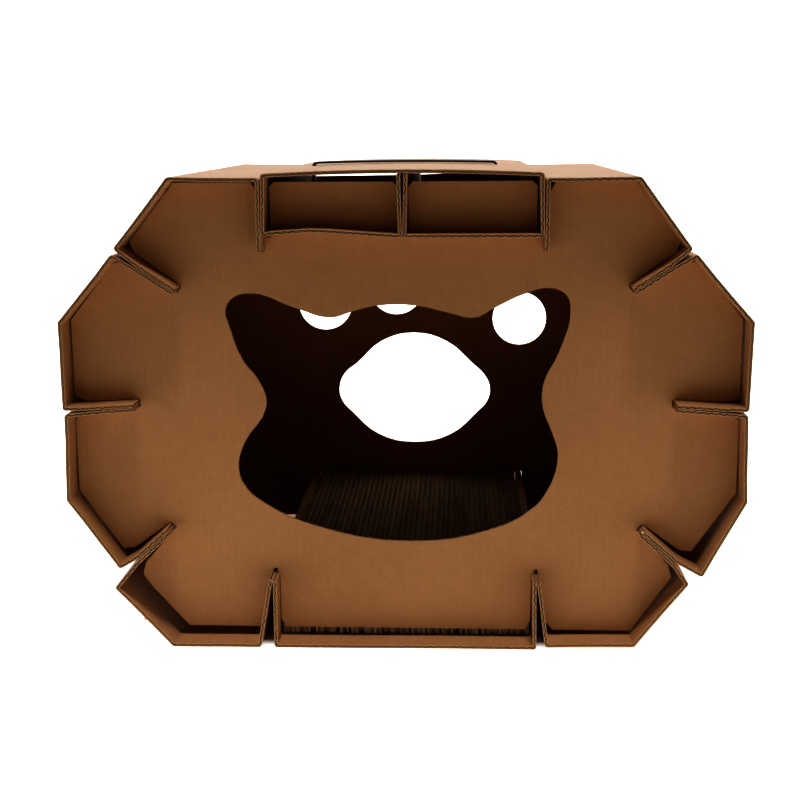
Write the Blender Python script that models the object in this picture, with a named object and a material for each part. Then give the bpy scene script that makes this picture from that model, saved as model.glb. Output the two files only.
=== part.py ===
"""Cardboard cat house, in metres: ten folded wall sections keyed into two slotted end panels.

+X is to the right of somebody facing the door, +Y runs from the door to the back, +Z is up.
The origin is on the ground, under the middle of the house. Profiles are drawn in the XZ plane,
as seen from the door, and run round the shell from the floor, up the right side and back.
"""

import math
from typing import NamedTuple

import bmesh
import bpy
from mathutils import Vector

MM = 0.001

# Board and fits
BOARD = 3.0 * MM  # thickness of the corrugated board
TOUCH = 0.3 * MM  # gap between pieces that bear on each other
FOLD_RADIUS = 3.6 * MM  # outer radius of a crease
FOLD_STEPS = 5

# Shell, measured on its outer faces
WIDTH = 550.0 * MM
DEPTH = 400.0 * MM
HEIGHT = 384.0 * MM
ROOF_CORNER_X = 184.5 * MM
FLOOR_CORNER_X = 188.0 * MM
SIDE_TOP_Z = 270.5 * MM
SIDE_BOTTOM_Z = 125.0 * MM

# Fins, where two neighbouring sections turn in and lie back to back
FIN_LENGTH = 58.0 * MM
FLOOR_FIN_X = 111.5 * MM
FLOOR_FIN_ANGLE = 93.5  # degrees from +X, as for each fin's angle below
FLOOR_FIN_MOUTH = 8.5 * MM
LOWER_FIN_ANGLE = 138.0
LOWER_FIN_MOUTH = 13.0 * MM
LOWER_FIN_BULGE = 5.6 * MM  # the lower walls stand out this much where they meet
SIDE_FIN_ANGLE = 176.0
SIDE_FIN_MOUTH = 3.0 * MM
UPPER_FIN_ANGLE = 213.5
UPPER_FIN_MOUTH = 5.0 * MM
ROOF_FIN_X = 111.2 * MM
ROOF_FIN_ANGLE = 270.0
ROOF_FIN_MOUTH = 2.2 * MM

# End panels
PANEL_RECESS = 21.0 * MM  # from the rim to the panel's outer face
PANEL_SIDE_GAP = 2.2 * MM
PANEL_TOP_GAP = 1.2 * MM
PANEL_LOWER_GAP = 3.0 * MM
PANEL_FOOT_GAP = 5.4 * MM
SLOT_SIDE_GAP = 0.4 * MM
SLOT_END_GAP = 1.2 * MM
LEAD_IN_DEPTH = 9.0 * MM
LEAD_IN_WIDTH = 5.0 * MM

# Carry beam across the roof, two cells folded from one sheet
BEAM_RISE = 3.0 * MM  # its edges stand this much above the roof
BEAM_BOW = 3.0 * MM  # crown of its skin above its edges
BEAM_BOW_STEPS = 12
BEAM_HEIGHT = 50.0 * MM
DIVIDER_TOP_GAP = 0.5 * MM
DIVIDER_SIDE_GAP = 1.2 * MM

# Panel tabs that stand up through the beam's lips
TAB_TOP_GAP = 1.2 * MM
TAB_SIDE_GAP = 2.0 * MM
TAB_CHAMFER = 7.0 * MM
TAB_SLOT_GAP = 0.5 * MM
TAB_SEAT_GAP = 1.0 * MM  # from the panel's shoulder to the beam's lip

# Cat-head doorway in the front panel
DOOR_X = -4.8 * MM
DOOR_WIDTH = 276.3 * MM
DOOR_SILL = 85.4 * MM  # from the ground to its lowest point
DOOR_HEADROOM = 88.5 * MM  # from its ears to the roof
DOOR_HEIGHT = HEIGHT - DOOR_SILL - DOOR_HEADROOM
DOOR_Z = DOOR_SILL + DOOR_HEIGHT / 2
CURVE_RESOLUTION = 4

# Paw cut-out in the rear panel
PAW_X = -2.9 * MM
PAW_WIDTH = 160.6 * MM
PAW_SILL = 89.5 * MM  # from the ground to the pad's lowest point
PAW_HEADROOM = 175.6 * MM  # from the pad's highest point to the roof
PAW_HEIGHT = HEIGHT - PAW_SILL - PAW_HEADROOM
PAW_Z = PAW_SILL + PAW_HEIGHT / 2
TOE_RADIUS = 28.2 * MM
TOE_SIDES = 32

# Carry handle, a moulded strap whose barbed ends slide through the beam's skin
HANDLE_X = -5.0 * MM
HANDLE_SPAN = 168.0 * MM
HANDLE_WIDTH = 20.0 * MM
HANDLE_THICKNESS = 2.0 * MM
HANDLE_CREST = 3.0 * MM  # top of the strap above the skin's crown
HANDLE_ARCH = 1.2 * MM
HANDLE_ARCH_STEPS = 8
HANDLE_BEND = 4.5 * MM
HANDLE_TRAVEL = 20.0 * MM
HANDLE_SLOT_GAP = 0.5 * MM
BARB_OVERHANG = 3.5 * MM
BARB_HEIGHT = 9.0 * MM
BARB_SHOULDER = 2.0 * MM
BARB_TIP_WIDTH = 12.0 * MM
BARB_INSET = 0.1 * MM  # its faces lie this much inside the leg's

# Scratching pad, corrugated strips glued side by side
PAD_HEIGHT = 53.5 * MM
PAD_SIDE_GAP = 1.0 * MM
PAD_END_GAP = 0.8 * MM
PAD_STRIPS = 41
PAD_GROOVE_WIDTH = 1.4 * MM
PAD_GROOVE_DEPTH = 1.2 * MM

# Cutters reach this far past what they cut
OVERCUT = 5.0 * MM

# Doorway's outline from its middle, clockwise from the outside of the left ear
CAT_HEAD = (
    (-139.5, 92.2), (-123.5, 102.2), (-82.5, 90.0), (-54.7, 82.4), (-37.8, 87.0), (-17.4, 92.0),
    (16.0, 92.0), (41.9, 86.1), (62.2, 82.2), (78.9, 90.5), (102.7, 101.6), (122.8, 106.1),
    (135.7, 100.6), (139.5, 89.5), (130.9, 54.2), (118.6, 28.0), (118.5, 6.7), (125.6, -12.0),
    (131.1, -32.7), (121.3, -64.7), (108.2, -79.4), (79.9, -94.4), (9.2, -106.1), (-73.0, -92.1),
    (-111.1, -74.4), (-127.9, -59.7), (-133.2, -43.8), (-127.8, -22.4), (-108.8, 8.7), (-114.1, 29.5),
    (-127.0, 46.8), (-136.8, 72.6),
)

# Paw pad's outline from its middle, clockwise from its left lobe
PAW_PAD = (
    (-79.7, 0.0), (-73.5, 16.0), (-59.9, 27.4), (-34.0, 50.5), (0.0, 59.0), (34.0, 50.0),
    (61.8, 26.0), (74.0, 14.0), (79.7, 0.0), (77.0, -14.0), (66.5, -26.0), (38.0, -50.5),
    (0.0, -59.0), (-38.0, -50.5), (-66.5, -26.0), (-77.0, -14.0),
)

# Middles of the toes, on the scale of the pad's outline
TOES = ((-93.2, 90.0), (-18.6, 106.1), (52.0, 113.0), (110.0, 74.0))

KRAFT = (0.33, 0.19, 0.09)
KRAFT_PAD = (0.38, 0.23, 0.12)
DARK_PLASTIC = (0.03, 0.028, 0.02)


class Fin(NamedTuple):
    """Two flanges back to back, where one section ends and the next begins."""

    mouth: Vector
    inward: Vector
    along: Vector  # the shell's direction at the mouth
    width: float  # of the mouth, between the two creases


class Point(NamedTuple):
    """A point on a sheet's outer face, creased there or only bent."""

    at: Vector
    creased: bool = True


def clear_scene():
    """Removes whatever the scene holds."""
    for old in list(bpy.data.objects):
        bpy.data.objects.remove(old, do_unlink=True)


def new_collection(name):
    """Returns a new collection in the scene."""
    made = bpy.data.collections.new(name)
    bpy.context.scene.collection.children.link(made)
    return made


def new_material(name, colour, roughness):
    """Returns a Principled material that isn't metal."""
    made = bpy.data.materials.new(name)
    made.use_nodes = True
    shader = made.node_tree.nodes["Principled BSDF"]
    shader.inputs["Base Color"].default_value = (*colour, 1.0)
    shader.inputs["Roughness"].default_value = roughness
    shader.inputs["Metallic"].default_value = 0.0
    return made


def left_of(direction):
    """Returns the unit normal on the left of a direction."""
    return Vector((-direction.y, direction.x)).normalized()


def turned_mirror(points):
    """Returns a profile's other half, so that both together run one way round."""
    return [Vector((-point.x, point.y)) for point in reversed(points)]


def crossing(start, along, other, across):
    """Returns the point where two lines cross, each given by a point and a direction."""
    normal = left_of(across)
    return start + along * (other - start).dot(normal) / along.dot(normal)


def corners():
    """Returns the shell's corners on the right, from the floor up."""
    return (
        Vector((FLOOR_CORNER_X, 0.0)),
        Vector((WIDTH / 2, SIDE_BOTTOM_Z)),
        Vector((WIDTH / 2, SIDE_TOP_Z)),
        Vector((ROOF_CORNER_X, HEIGHT)),
    )


def new_fin(mouth, degrees, along, width):
    """Returns a fin that points this many degrees from +X."""
    angle = math.radians(degrees)
    return Fin(mouth, Vector((math.cos(angle), math.sin(angle))), along.normalized(), width)


def fins_on_the_right():
    """Returns the fins on the right, from the floor up."""
    floor, side_bottom, side_top, roof = corners()
    rightward = Vector((1.0, 0.0))
    diagonal = side_bottom - floor
    lower_mouth = (floor + side_bottom) / 2 - left_of(diagonal) * LOWER_FIN_BULGE
    return (
        new_fin(Vector((FLOOR_FIN_X, 0.0)), FLOOR_FIN_ANGLE, rightward, FLOOR_FIN_MOUTH),
        new_fin(lower_mouth, LOWER_FIN_ANGLE, diagonal, LOWER_FIN_MOUTH),
        new_fin((side_bottom + side_top) / 2, SIDE_FIN_ANGLE, side_top - side_bottom, SIDE_FIN_MOUTH),
        new_fin((side_top + roof) / 2, UPPER_FIN_ANGLE, roof - side_top, UPPER_FIN_MOUTH),
        new_fin(Vector((ROOF_FIN_X, HEIGHT)), ROOF_FIN_ANGLE, -rightward, ROOF_FIN_MOUTH),
    )


def mirrored(fin):
    """Returns the fin's twin on the left, where the shell runs the other way."""
    return Fin(
        Vector((-fin.mouth.x, fin.mouth.y)),
        Vector((-fin.inward.x, fin.inward.y)),
        Vector((fin.along.x, -fin.along.y)),
        fin.width,
    )


def flange(fin, side):
    """Returns the crease and the tip of the flange after a fin (side 1) or before it (side -1)."""
    crease = fin.mouth + fin.along * side * fin.width / 2
    across = left_of(fin.inward)
    if across.dot(fin.along) * side < 0:
        across = -across
    return crease, fin.mouth + fin.inward * FIN_LENGTH + across * TOUCH / 2


def folded_sheet(points, thickness, fold_radius):
    """Returns the outline of a sheet from its outer face, which turns left at each crease."""
    first, last = points[0].at, points[-1].at
    outer = [first]
    inner = [first + left_of(points[1].at - first) * thickness]
    for before, point, after in zip(points, points[1:], points[2:]):
        normal_in = left_of(point.at - before.at)
        normal_out = left_of(after.at - point.at)
        middle = (normal_in + normal_out).normalized()
        half_turn_cosine = middle.dot(normal_in)
        if not point.creased:
            outer.append(point.at)
            inner.append(point.at + middle * thickness / half_turn_cosine)
            continue
        centre = point.at + middle * fold_radius / half_turn_cosine
        for step in range(FOLD_STEPS + 1):
            normal = normal_in.slerp(normal_out, step / FOLD_STEPS)
            outer.append(centre - normal * fold_radius)
            inner.append(centre - normal * (fold_radius - thickness))
    outer.append(last)
    inner.append(last + left_of(last - points[-2].at) * thickness)
    return outer + inner[::-1]


def board_outline(points):
    """Returns the outline of a folded board."""
    return folded_sheet(points, BOARD, FOLD_RADIUS)


def section_outline(before, corner, after):
    """Returns the outline of the section between two fins, bent at a corner if it has one."""
    crease_in, tip_in = flange(before, 1)
    crease_out, tip_out = flange(after, -1)
    wall = [crease_in, crease_out] if corner is None else [crease_in, corner, crease_out]
    return board_outline([Point(at) for at in (tip_in, *wall, tip_out)])


def beam_edge():
    """Returns the top of the beam's right side, on its outer face."""
    return Vector((ROOF_FIN_X - ROOF_FIN_MOUTH / 2, HEIGHT + BEAM_RISE))


def beam_foot():
    """Returns the bottom of the beam's right side, which lies along the next section's flange."""
    edge = beam_edge()
    tip = Vector((ROOF_FIN_X - TOUCH / 2, edge.y - FIN_LENGTH))
    return edge.lerp(tip, BEAM_HEIGHT / FIN_LENGTH)


def skin_top(x):
    """Returns the height of the beam's bowed skin at this distance from its middle."""
    edge = beam_edge()
    return edge.y + BEAM_BOW * (1.0 - (x / edge.x) ** 2)


def beam_outline():
    """Returns the outline of the beam: divider, lip, side, bowed skin, side, lip and divider."""
    edge, foot = beam_edge(), beam_foot()
    divider_top = skin_top(BOARD) - BOARD - DIVIDER_TOP_GAP
    half = [
        Point(Vector((TOUCH / 2, divider_top))),
        Point(Vector((TOUCH / 2, foot.y))),
        Point(foot),
        Point(edge),
    ]
    bow = []
    for step in range(1, BEAM_BOW_STEPS):
        x = edge.x * (1.0 - 2.0 * step / BEAM_BOW_STEPS)
        bow.append(Point(Vector((x, skin_top(x))), creased=False))
    other_half = [Point(Vector((-point.at.x, point.at.y))) for point in reversed(half)]
    return board_outline(half + bow + other_half)


def tab_sides():
    """Returns how far from the middle a panel's tab begins and ends."""
    inner = TOUCH / 2 + BOARD + DIVIDER_SIDE_GAP
    return inner, beam_foot().x - BOARD - TAB_SIDE_GAP


def slot_side(fin, side, edge_at, end_gap):
    """Returns one side of a panel's slot from its lead-in on the panel's edge to its end."""
    crease, tip = flange(fin, side)
    down = (tip - crease).normalized()
    away = left_of(down)
    if away.dot(fin.along) * side < 0:
        away = -away
    start = crease + away * (BOARD + SLOT_SIDE_GAP)
    mouth = crossing(start, down, edge_at, fin.along)
    end_line = fin.mouth + fin.inward * (FIN_LENGTH + end_gap)
    end = crossing(start, down, end_line, left_of(fin.inward))
    lead_in = mouth + fin.along * side * LEAD_IN_WIDTH
    return [lead_in, mouth + down * LEAD_IN_DEPTH, end]


def slot(fin, edge_at, end_gap):
    """Returns a panel's slot round a fin, from one lead-in to the other."""
    other_side = slot_side(fin, 1, edge_at, end_gap)
    return slot_side(fin, -1, edge_at, end_gap) + other_side[::-1]


def tab_outline():
    """Returns the right tab's outline and half of the divider's slot, going left."""
    inner, outer = tab_sides()
    top = skin_top(outer - TAB_CHAMFER) - BOARD - TAB_TOP_GAP
    return [
        Vector((outer, top - TAB_CHAMFER)),
        Vector((outer - TAB_CHAMFER, top)),
        Vector((inner + TAB_CHAMFER, top)),
        Vector((inner, top - TAB_CHAMFER)),
        Vector((inner, beam_foot().y - TOUCH)),
    ]


def panel_outline():
    """Returns an end panel's outline: the shell's inside, slotted at each fin, with two tabs."""
    floor, lower, side, upper, roof = fins_on_the_right()
    fins = (floor, lower, side, upper, roof)
    lower_gap = LOWER_FIN_BULGE + PANEL_LOWER_GAP
    gaps = (PANEL_FOOT_GAP, lower_gap, PANEL_SIDE_GAP, PANEL_TOP_GAP, PANEL_TOP_GAP)
    edges = [fin.mouth + left_of(fin.along) * (BOARD + gap) for fin, gap in zip(fins, gaps)]
    outline = []
    for index, fin in enumerate(fins[:-1]):
        end_gap = TOUCH if fin is floor else SLOT_END_GAP
        outline += slot(fin, edges[index], end_gap)
        outline.append(crossing(edges[index], fin.along, edges[index + 1], fins[index + 1].along))
    outline += slot_side(roof, -1, edges[-1], SLOT_END_GAP)
    slot_x = flange(roof, -1)[1].x - SLOT_SIDE_GAP
    shoulder = beam_foot().y - TAB_SEAT_GAP
    outline += [Vector((slot_x, outline[-1].y)), Vector((slot_x, shoulder))]
    outline.append(Vector((tab_sides()[1], shoulder)))
    outline += tab_outline()
    return outline + turned_mirror(outline)


def scales(outline, width, height):
    """Returns the scales along X and Z that bring an outline to a width and a height."""
    wide = max(point[0] for point in outline) - min(point[0] for point in outline)
    high = max(point[1] for point in outline) - min(point[1] for point in outline)
    return width / wide, height / high


def door_outline():
    """Returns the cat-head doorway's outline."""
    across, up = scales(CAT_HEAD, DOOR_WIDTH, DOOR_HEIGHT)
    return [Vector((DOOR_X + x * across, DOOR_Z + z * up)) for x, z in CAT_HEAD]


def on_the_paw(points):
    """Returns points of the paw's drawing at their places on the panel."""
    across, up = scales(PAW_PAD, PAW_WIDTH, PAW_HEIGHT)
    return [Vector((PAW_X + x * across, PAW_Z + z * up)) for x, z in points]


def toe_outline(middle):
    """Returns the round cut-out of one toe."""
    turns = [2.0 * math.pi * step / TOE_SIDES for step in range(TOE_SIDES)]
    return [middle + Vector((math.cos(turn), math.sin(turn))) * TOE_RADIUS for turn in turns]


def handle_feet():
    """Returns, for each end of the handle, the outer face's place and its way in."""
    return (
        (HANDLE_X + HANDLE_SPAN / 2, -1.0),
        (HANDLE_X - HANDLE_SPAN / 2, 1.0),
    )


def barb_top(x):
    """Returns the top of the barb whose leg has its outer face here, at rest."""
    return skin_top(x) - BOARD - TOUCH - HANDLE_TRAVEL


def handle_outline():
    """Returns the strap's outline: up one leg, over the arch and down the other leg."""
    (right, _), (left, _) = handle_feet()
    crest = skin_top(0.0) + HANDLE_CREST
    path = [
        Point(Vector((right, barb_top(right) - BARB_SHOULDER))),
        Point(Vector((right, crest - HANDLE_ARCH))),
    ]
    for step in range(1, HANDLE_ARCH_STEPS):
        share = 2.0 * step / HANDLE_ARCH_STEPS - 1.0
        at = Vector((HANDLE_X - share * HANDLE_SPAN / 2, crest - HANDLE_ARCH * share**2))
        path.append(Point(at, creased=False))
    path.append(Point(Vector((left, crest - HANDLE_ARCH))))
    path.append(Point(Vector((left, barb_top(left) - BARB_SHOULDER))))
    return folded_sheet(path, HANDLE_THICKNESS, HANDLE_BEND)


def barb_outline(top):
    """Returns an arrowhead in a leg's own plane, which stops the handle under the skin."""
    half = HANDLE_WIDTH / 2 + BARB_OVERHANG
    right = [
        Vector((BARB_TIP_WIDTH / 2, top - BARB_HEIGHT)),
        Vector((half, top - BARB_SHOULDER)),
        Vector((half, top)),
    ]
    return right + turned_mirror(right)


def pad_half_width():
    """Returns half the room between the floor's two flanges, less the pad's gap."""
    crease, tip = flange(fins_on_the_right()[0], -1)
    return min(crease.x, tip.x) - BOARD - PAD_SIDE_GAP


def pad_length():
    """Returns the room between the two panels, less the pad's gaps."""
    return DEPTH - 2.0 * (PANEL_RECESS + BOARD + PAD_END_GAP)


def pad_outline():
    """Returns the pad's cross-section, grooved where one strip meets the next on both faces."""
    half = pad_half_width()
    pitch = 2.0 * half / PAD_STRIPS
    bottom = BOARD + TOUCH
    top = bottom + PAD_HEIGHT
    lower = [Vector((-half, bottom))]
    upper = [Vector((-half, top))]
    for strip in range(1, PAD_STRIPS):
        x = -half + strip * pitch
        for edge, row, inward in ((bottom, lower, 1.0), (top, upper, -1.0)):
            row.append(Vector((x - PAD_GROOVE_WIDTH / 2, edge)))
            row.append(Vector((x, edge + inward * PAD_GROOVE_DEPTH)))
            row.append(Vector((x + PAD_GROOVE_WIDTH / 2, edge)))
    lower.append(Vector((half, bottom)))
    upper.append(Vector((half, top)))
    return lower + upper[::-1]


def flat_solid(name, thickness, outlines, smooth_outlines=()):
    """Returns an upright 2D curve, filled between its outlines and thick along Y.

    Args:
        name: The object's name.
        thickness: The object's size along Y, half of it on each side of its origin.
        outlines: Closed outlines of straight stretches.
        smooth_outlines: Closed outlines that pass smoothly through their points.

    Returns:
        The curve object, in no collection yet.
    """
    curve = bpy.data.curves.new(name, "CURVE")
    curve.dimensions = "2D"
    curve.fill_mode = "BOTH"
    curve.extrude = thickness / 2
    for outline in outlines:
        spline = curve.splines.new("POLY")
        spline.points.add(len(outline) - 1)
        spline.use_cyclic_u = True
        for point, at in zip(spline.points, outline):
            point.co = (at.x, at.y, 0.0, 1.0)
    for outline in smooth_outlines:
        spline = curve.splines.new("BEZIER")
        spline.bezier_points.add(len(outline) - 1)
        spline.use_cyclic_u = True
        spline.resolution_u = CURVE_RESOLUTION
        for point, at in zip(spline.bezier_points, outline):
            point.co = (at.x, at.y, 0.0)
            point.handle_left_type = "AUTO"
            point.handle_right_type = "AUTO"
    made = bpy.data.objects.new(name, curve)
    made.rotation_euler.x = math.pi / 2
    return made


def to_mesh(curved):
    """Returns a closed mesh object in place of a curve object."""
    bpy.context.scene.collection.objects.link(curved)
    bpy.context.view_layer.update()
    graph = bpy.context.evaluated_depsgraph_get()
    mesh = bpy.data.meshes.new_from_object(curved.evaluated_get(graph))
    edited = bmesh.new()
    edited.from_mesh(mesh)
    bmesh.ops.remove_doubles(edited, verts=edited.verts, dist=TOUCH / 100)
    bmesh.ops.recalc_face_normals(edited, faces=edited.faces)
    edited.to_mesh(mesh)
    edited.free()
    name = curved.name
    placed = curved.matrix_world.copy()
    bpy.data.objects.remove(curved, do_unlink=True)
    made = bpy.data.objects.new(name, mesh)
    made.matrix_world = placed
    return made


def box_cutter(name, low, high, cutters):
    """Returns a hidden box between two corners."""
    bpy.ops.mesh.primitive_cube_add(size=1.0, location=(Vector(low) + Vector(high)) / 2)
    made = bpy.context.object
    made.name = name
    made.scale = Vector(high) - Vector(low)
    made.hide_render = True
    made.display_type = "WIRE"
    for holder in list(made.users_collection):
        holder.objects.unlink(made)
    cutters.objects.link(made)
    return made


def combine(target, other, operation):
    """Adds an exact Boolean to an object."""
    modifier = target.modifiers.new(f"{operation.lower()} {other.name}", "BOOLEAN")
    modifier.operation = operation
    modifier.solver = "EXACT"
    modifier.object = other


def panel_places():
    """Returns the middle of each end panel's thickness along Y, front first."""
    back = DEPTH / 2 - PANEL_RECESS - BOARD / 2
    return -back, back


def build_sections(parts, kraft):
    """Builds the nine plain sections of the shell."""
    right = fins_on_the_right()
    left = [mirrored(fin) for fin in right]
    turns = corners()
    names = ("floor_corner", "lower_side", "upper_side", "roof_corner")
    outlines = {"floor_channel": section_outline(left[0], None, right[0])}
    for name, corner, low, high in zip(names, turns, right, right[1:]):
        outlines[f"{name}_right"] = section_outline(low, corner, high)
    for name, corner, low, high in zip(names, turns, left, left[1:]):
        outlines[f"{name}_left"] = section_outline(high, Vector((-corner.x, corner.y)), low)
    for name, outline in outlines.items():
        section = flat_solid(name, DEPTH, [outline])
        section.data.materials.append(kraft)
        parts.objects.link(section)


def build_beam(parts, cutters, kraft):
    """Builds the roof beam, slotted for the panels' tabs and for the handle's legs."""
    beam = to_mesh(flat_solid("roof_beam", DEPTH, [beam_outline()]))
    beam.data.materials.append(kraft)
    parts.objects.link(beam)
    inner, outer = (tab_sides()[0] - TAB_SLOT_GAP, tab_sides()[1] + TAB_SLOT_GAP)
    lip = beam_foot().y
    half_slot = BOARD / 2 + TAB_SLOT_GAP
    for end, y in zip(("front", "rear"), panel_places()):
        for hand, side in (("left", -1.0), ("right", 1.0)):
            low_x, high_x = sorted((side * inner, side * outer))
            low = (low_x, y - half_slot, lip - OVERCUT)
            high = (high_x, y + half_slot, lip + BOARD + OVERCUT)
            combine(beam, box_cutter(f"{end}_{hand}_tab_slot", low, high, cutters), "DIFFERENCE")
    for (x, inward), hand in zip(handle_feet(), ("right", "left")):
        low_x, high_x = sorted((x, x + inward * HANDLE_THICKNESS))
        half_width = HANDLE_WIDTH / 2 + HANDLE_SLOT_GAP
        low = (low_x - HANDLE_SLOT_GAP, -half_width, skin_top(x) - BOARD - OVERCUT)
        high = (high_x + HANDLE_SLOT_GAP, half_width, skin_top(x) + OVERCUT)
        combine(beam, box_cutter(f"{hand}_handle_slot", low, high, cutters), "DIFFERENCE")


def build_panels(parts, kraft):
    """Builds the front panel with its cat-head door and the rear panel with its paw."""
    front_y, rear_y = panel_places()
    toes = [toe_outline(middle) for middle in on_the_paw(TOES)]
    front = flat_solid("front_panel", BOARD, [panel_outline()], [door_outline()])
    rear = flat_solid("rear_panel", BOARD, [panel_outline(), *toes], [on_the_paw(PAW_PAD)])
    for panel, y in ((front, front_y), (rear, rear_y)):
        panel.location.y = y
        panel.data.materials.append(kraft)
        parts.objects.link(panel)


def build_handle(parts, cutters, plastic):
    """Builds the carry handle, whose parent stands on the line it slides along."""
    handle = to_mesh(flat_solid("carry_handle", HANDLE_WIDTH, [handle_outline()]))
    handle.data.materials.append(plastic)
    parts.objects.link(handle)
    for (x, inward), hand in zip(handle_feet(), ("right", "left")):
        thickness = HANDLE_THICKNESS - 2.0 * BARB_INSET
        barb = to_mesh(flat_solid(f"{hand}_barb", thickness, [barb_outline(barb_top(x))]))
        barb.rotation_euler.z = math.pi / 2
        barb.location.x = x + inward * HANDLE_THICKNESS / 2
        barb.hide_render = True
        barb.display_type = "WIRE"
        cutters.objects.link(barb)
        combine(handle, barb, "UNION")
    slide = bpy.data.objects.new("handle_slide", None)
    slide.location = (HANDLE_X, 0.0, skin_top(0.0))
    parts.objects.link(slide)
    handle.parent = slide
    handle.matrix_parent_inverse = slide.matrix_basis.inverted()


def build_pad(parts, kraft):
    """Builds the loose scratching pad, whose parent stands on the line it lifts along."""
    pad = flat_solid("scratch_pad", pad_length(), [pad_outline()])
    pad.data.materials.append(kraft)
    parts.objects.link(pad)
    lift = bpy.data.objects.new("pad_lift", None)
    lift.location.z = BOARD
    parts.objects.link(lift)
    pad.parent = lift
    pad.matrix_parent_inverse = lift.matrix_basis.inverted()


def main():
    """Builds the whole house."""
    clear_scene()
    parts = new_collection("cardboard_cat_house")
    cutters = new_collection("cutters")
    kraft = new_material("kraft_board", KRAFT, 0.9)
    pad_kraft = new_material("kraft_pad", KRAFT_PAD, 0.95)
    plastic = new_material("dark_plastic", DARK_PLASTIC, 0.4)
    build_sections(parts, kraft)
    build_beam(parts, cutters, kraft)
    build_panels(parts, kraft)
    build_handle(parts, cutters, plastic)
    build_pad(parts, pad_kraft)


if __name__ == "__main__":
    main()
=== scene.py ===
"""Dresses the cardboard cat house for its picture.

The solid boards of the frame become fluted board: two liners with a wavy medium between them,
folded along the same lines and open at every cut edge. The scratching pad becomes strips of
flutes set on edge, and the carry handle a moulded strap with rounded edges.

Everything is in metres, in the frame's own axes: +X to the right of somebody facing the door,
+Y from the door to the back, +Z up, with the ground at zero.
"""

import logging
import math
import random
import sys
from collections.abc import Callable, Iterable, Sequence
from dataclasses import dataclass, field
from enum import Enum
from typing import Any

import bmesh
import bpy
from mathutils import Matrix, Vector
from mathutils.kdtree import KDTree

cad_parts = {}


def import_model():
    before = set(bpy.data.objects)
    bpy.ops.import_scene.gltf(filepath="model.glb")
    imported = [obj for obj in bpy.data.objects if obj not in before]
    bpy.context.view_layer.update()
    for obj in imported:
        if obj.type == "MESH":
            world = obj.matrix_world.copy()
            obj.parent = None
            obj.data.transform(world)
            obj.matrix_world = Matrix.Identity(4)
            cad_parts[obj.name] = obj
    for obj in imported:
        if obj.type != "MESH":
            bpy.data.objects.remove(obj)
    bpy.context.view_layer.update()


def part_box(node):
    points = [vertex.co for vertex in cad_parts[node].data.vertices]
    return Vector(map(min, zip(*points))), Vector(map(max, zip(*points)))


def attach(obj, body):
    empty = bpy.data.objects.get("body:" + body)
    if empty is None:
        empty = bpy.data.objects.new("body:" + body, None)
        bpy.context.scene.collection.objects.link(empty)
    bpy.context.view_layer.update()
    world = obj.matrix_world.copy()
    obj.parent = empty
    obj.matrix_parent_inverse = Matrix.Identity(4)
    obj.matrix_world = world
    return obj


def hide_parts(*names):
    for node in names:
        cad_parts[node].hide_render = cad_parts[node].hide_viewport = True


LOG = logging.getLogger("cat_house")
MM = 0.001
# How far from the plan, in mm along X and Z, each section's creases and corner were found,
# to the half millimetre. The lower left fin has sagged the most.
AS_FOUND = {
    "floor_channel": ((-0.5, 0.0), (1.0, 0.0)),
    "floor_corner_right": ((-0.5, 2.0), (0.0, 3.0), (-1.5, 3.0)),
    "lower_side_right": ((1.5, -2.0), (0.0, 0.5), (-2.0, 0.5)),
    "upper_side_right": ((-1.5, 0.0), (0.0, 0.5), (-2.5, -1.0)),
    "roof_corner_right": ((-2.5, -1.5), (0.0, -0.5), (-0.5, -1.0)),
    "roof_corner_left": ((1.0, 0.0), (1.0, 1.0), (0.0, 0.0)),
    "upper_side_left": ((1.5, 0.0), (0.0, 0.5), (0.5, 0.0)),
    "lower_side_left": ((1.5, 0.0), (0.0, -0.5), (6.0, 2.0)),
    "floor_corner_left": ((-6.5, -3.5), (-4.0, 0.0), (-3.0, 0.0)),
}
# What is trimmed off the front panel: the tops of its tabs, its foot, and its rim beside the lower
# left slot. Each has four corners, in mm along X and Z: low left, low right, high right, high left.
FRONT_TABS = ((-109.0, 380.0), (109.0, 380.0), (109.0, 392.0), (-109.0, 392.0))
FRONT_FOOT = ((-195.0, 0.0), (195.0, 0.0), (195.0, 9.4), (-195.0, 11.2))
FRONT_LOWER_LEFT = ((-215.0, 0.0), (-172.0, 0.0), (-214.5, 48.0), (-240.0, 45.0))
# What is trimmed off the tops of the rear panel's tabs.
REAR_LEFT_TAB = ((-109.0, 372.6), (0.0, 373.6), (0.0, 392.0), (-109.0, 392.0))
REAR_RIGHT_TAB = ((0.0, 373.6), (109.0, 378.0), (109.0, 392.0), (0.0, 392.0))
# What is added to the rear panel beside its right tab, in mm: left, right, bottom, top.
REAR_STRIP = (101.0, 107.4, 346.0, 377.5)
# Edges sharper than this, in degrees, stay sharp when a piece is shaded smooth.
BOARD_EDGE = 40.0
PAD_EDGE = 35.0
STRAP_EDGE = 30.0
SWEEP_EDGE = 60.0
# Points closer than this, in metres, are one point: when picked along a line, and when welded.
SAME_POINT = 1e-7
WELD = 1e-6
# A face looks along an axis when its unit normal reaches this far along it.
SQUARE_ON = 0.9
Colour = tuple[float, float, float]
UNLIT: Colour = (0.0, 0.0, 0.0)
FULL_WHITE: Colour = (1.0, 1.0, 1.0)


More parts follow.
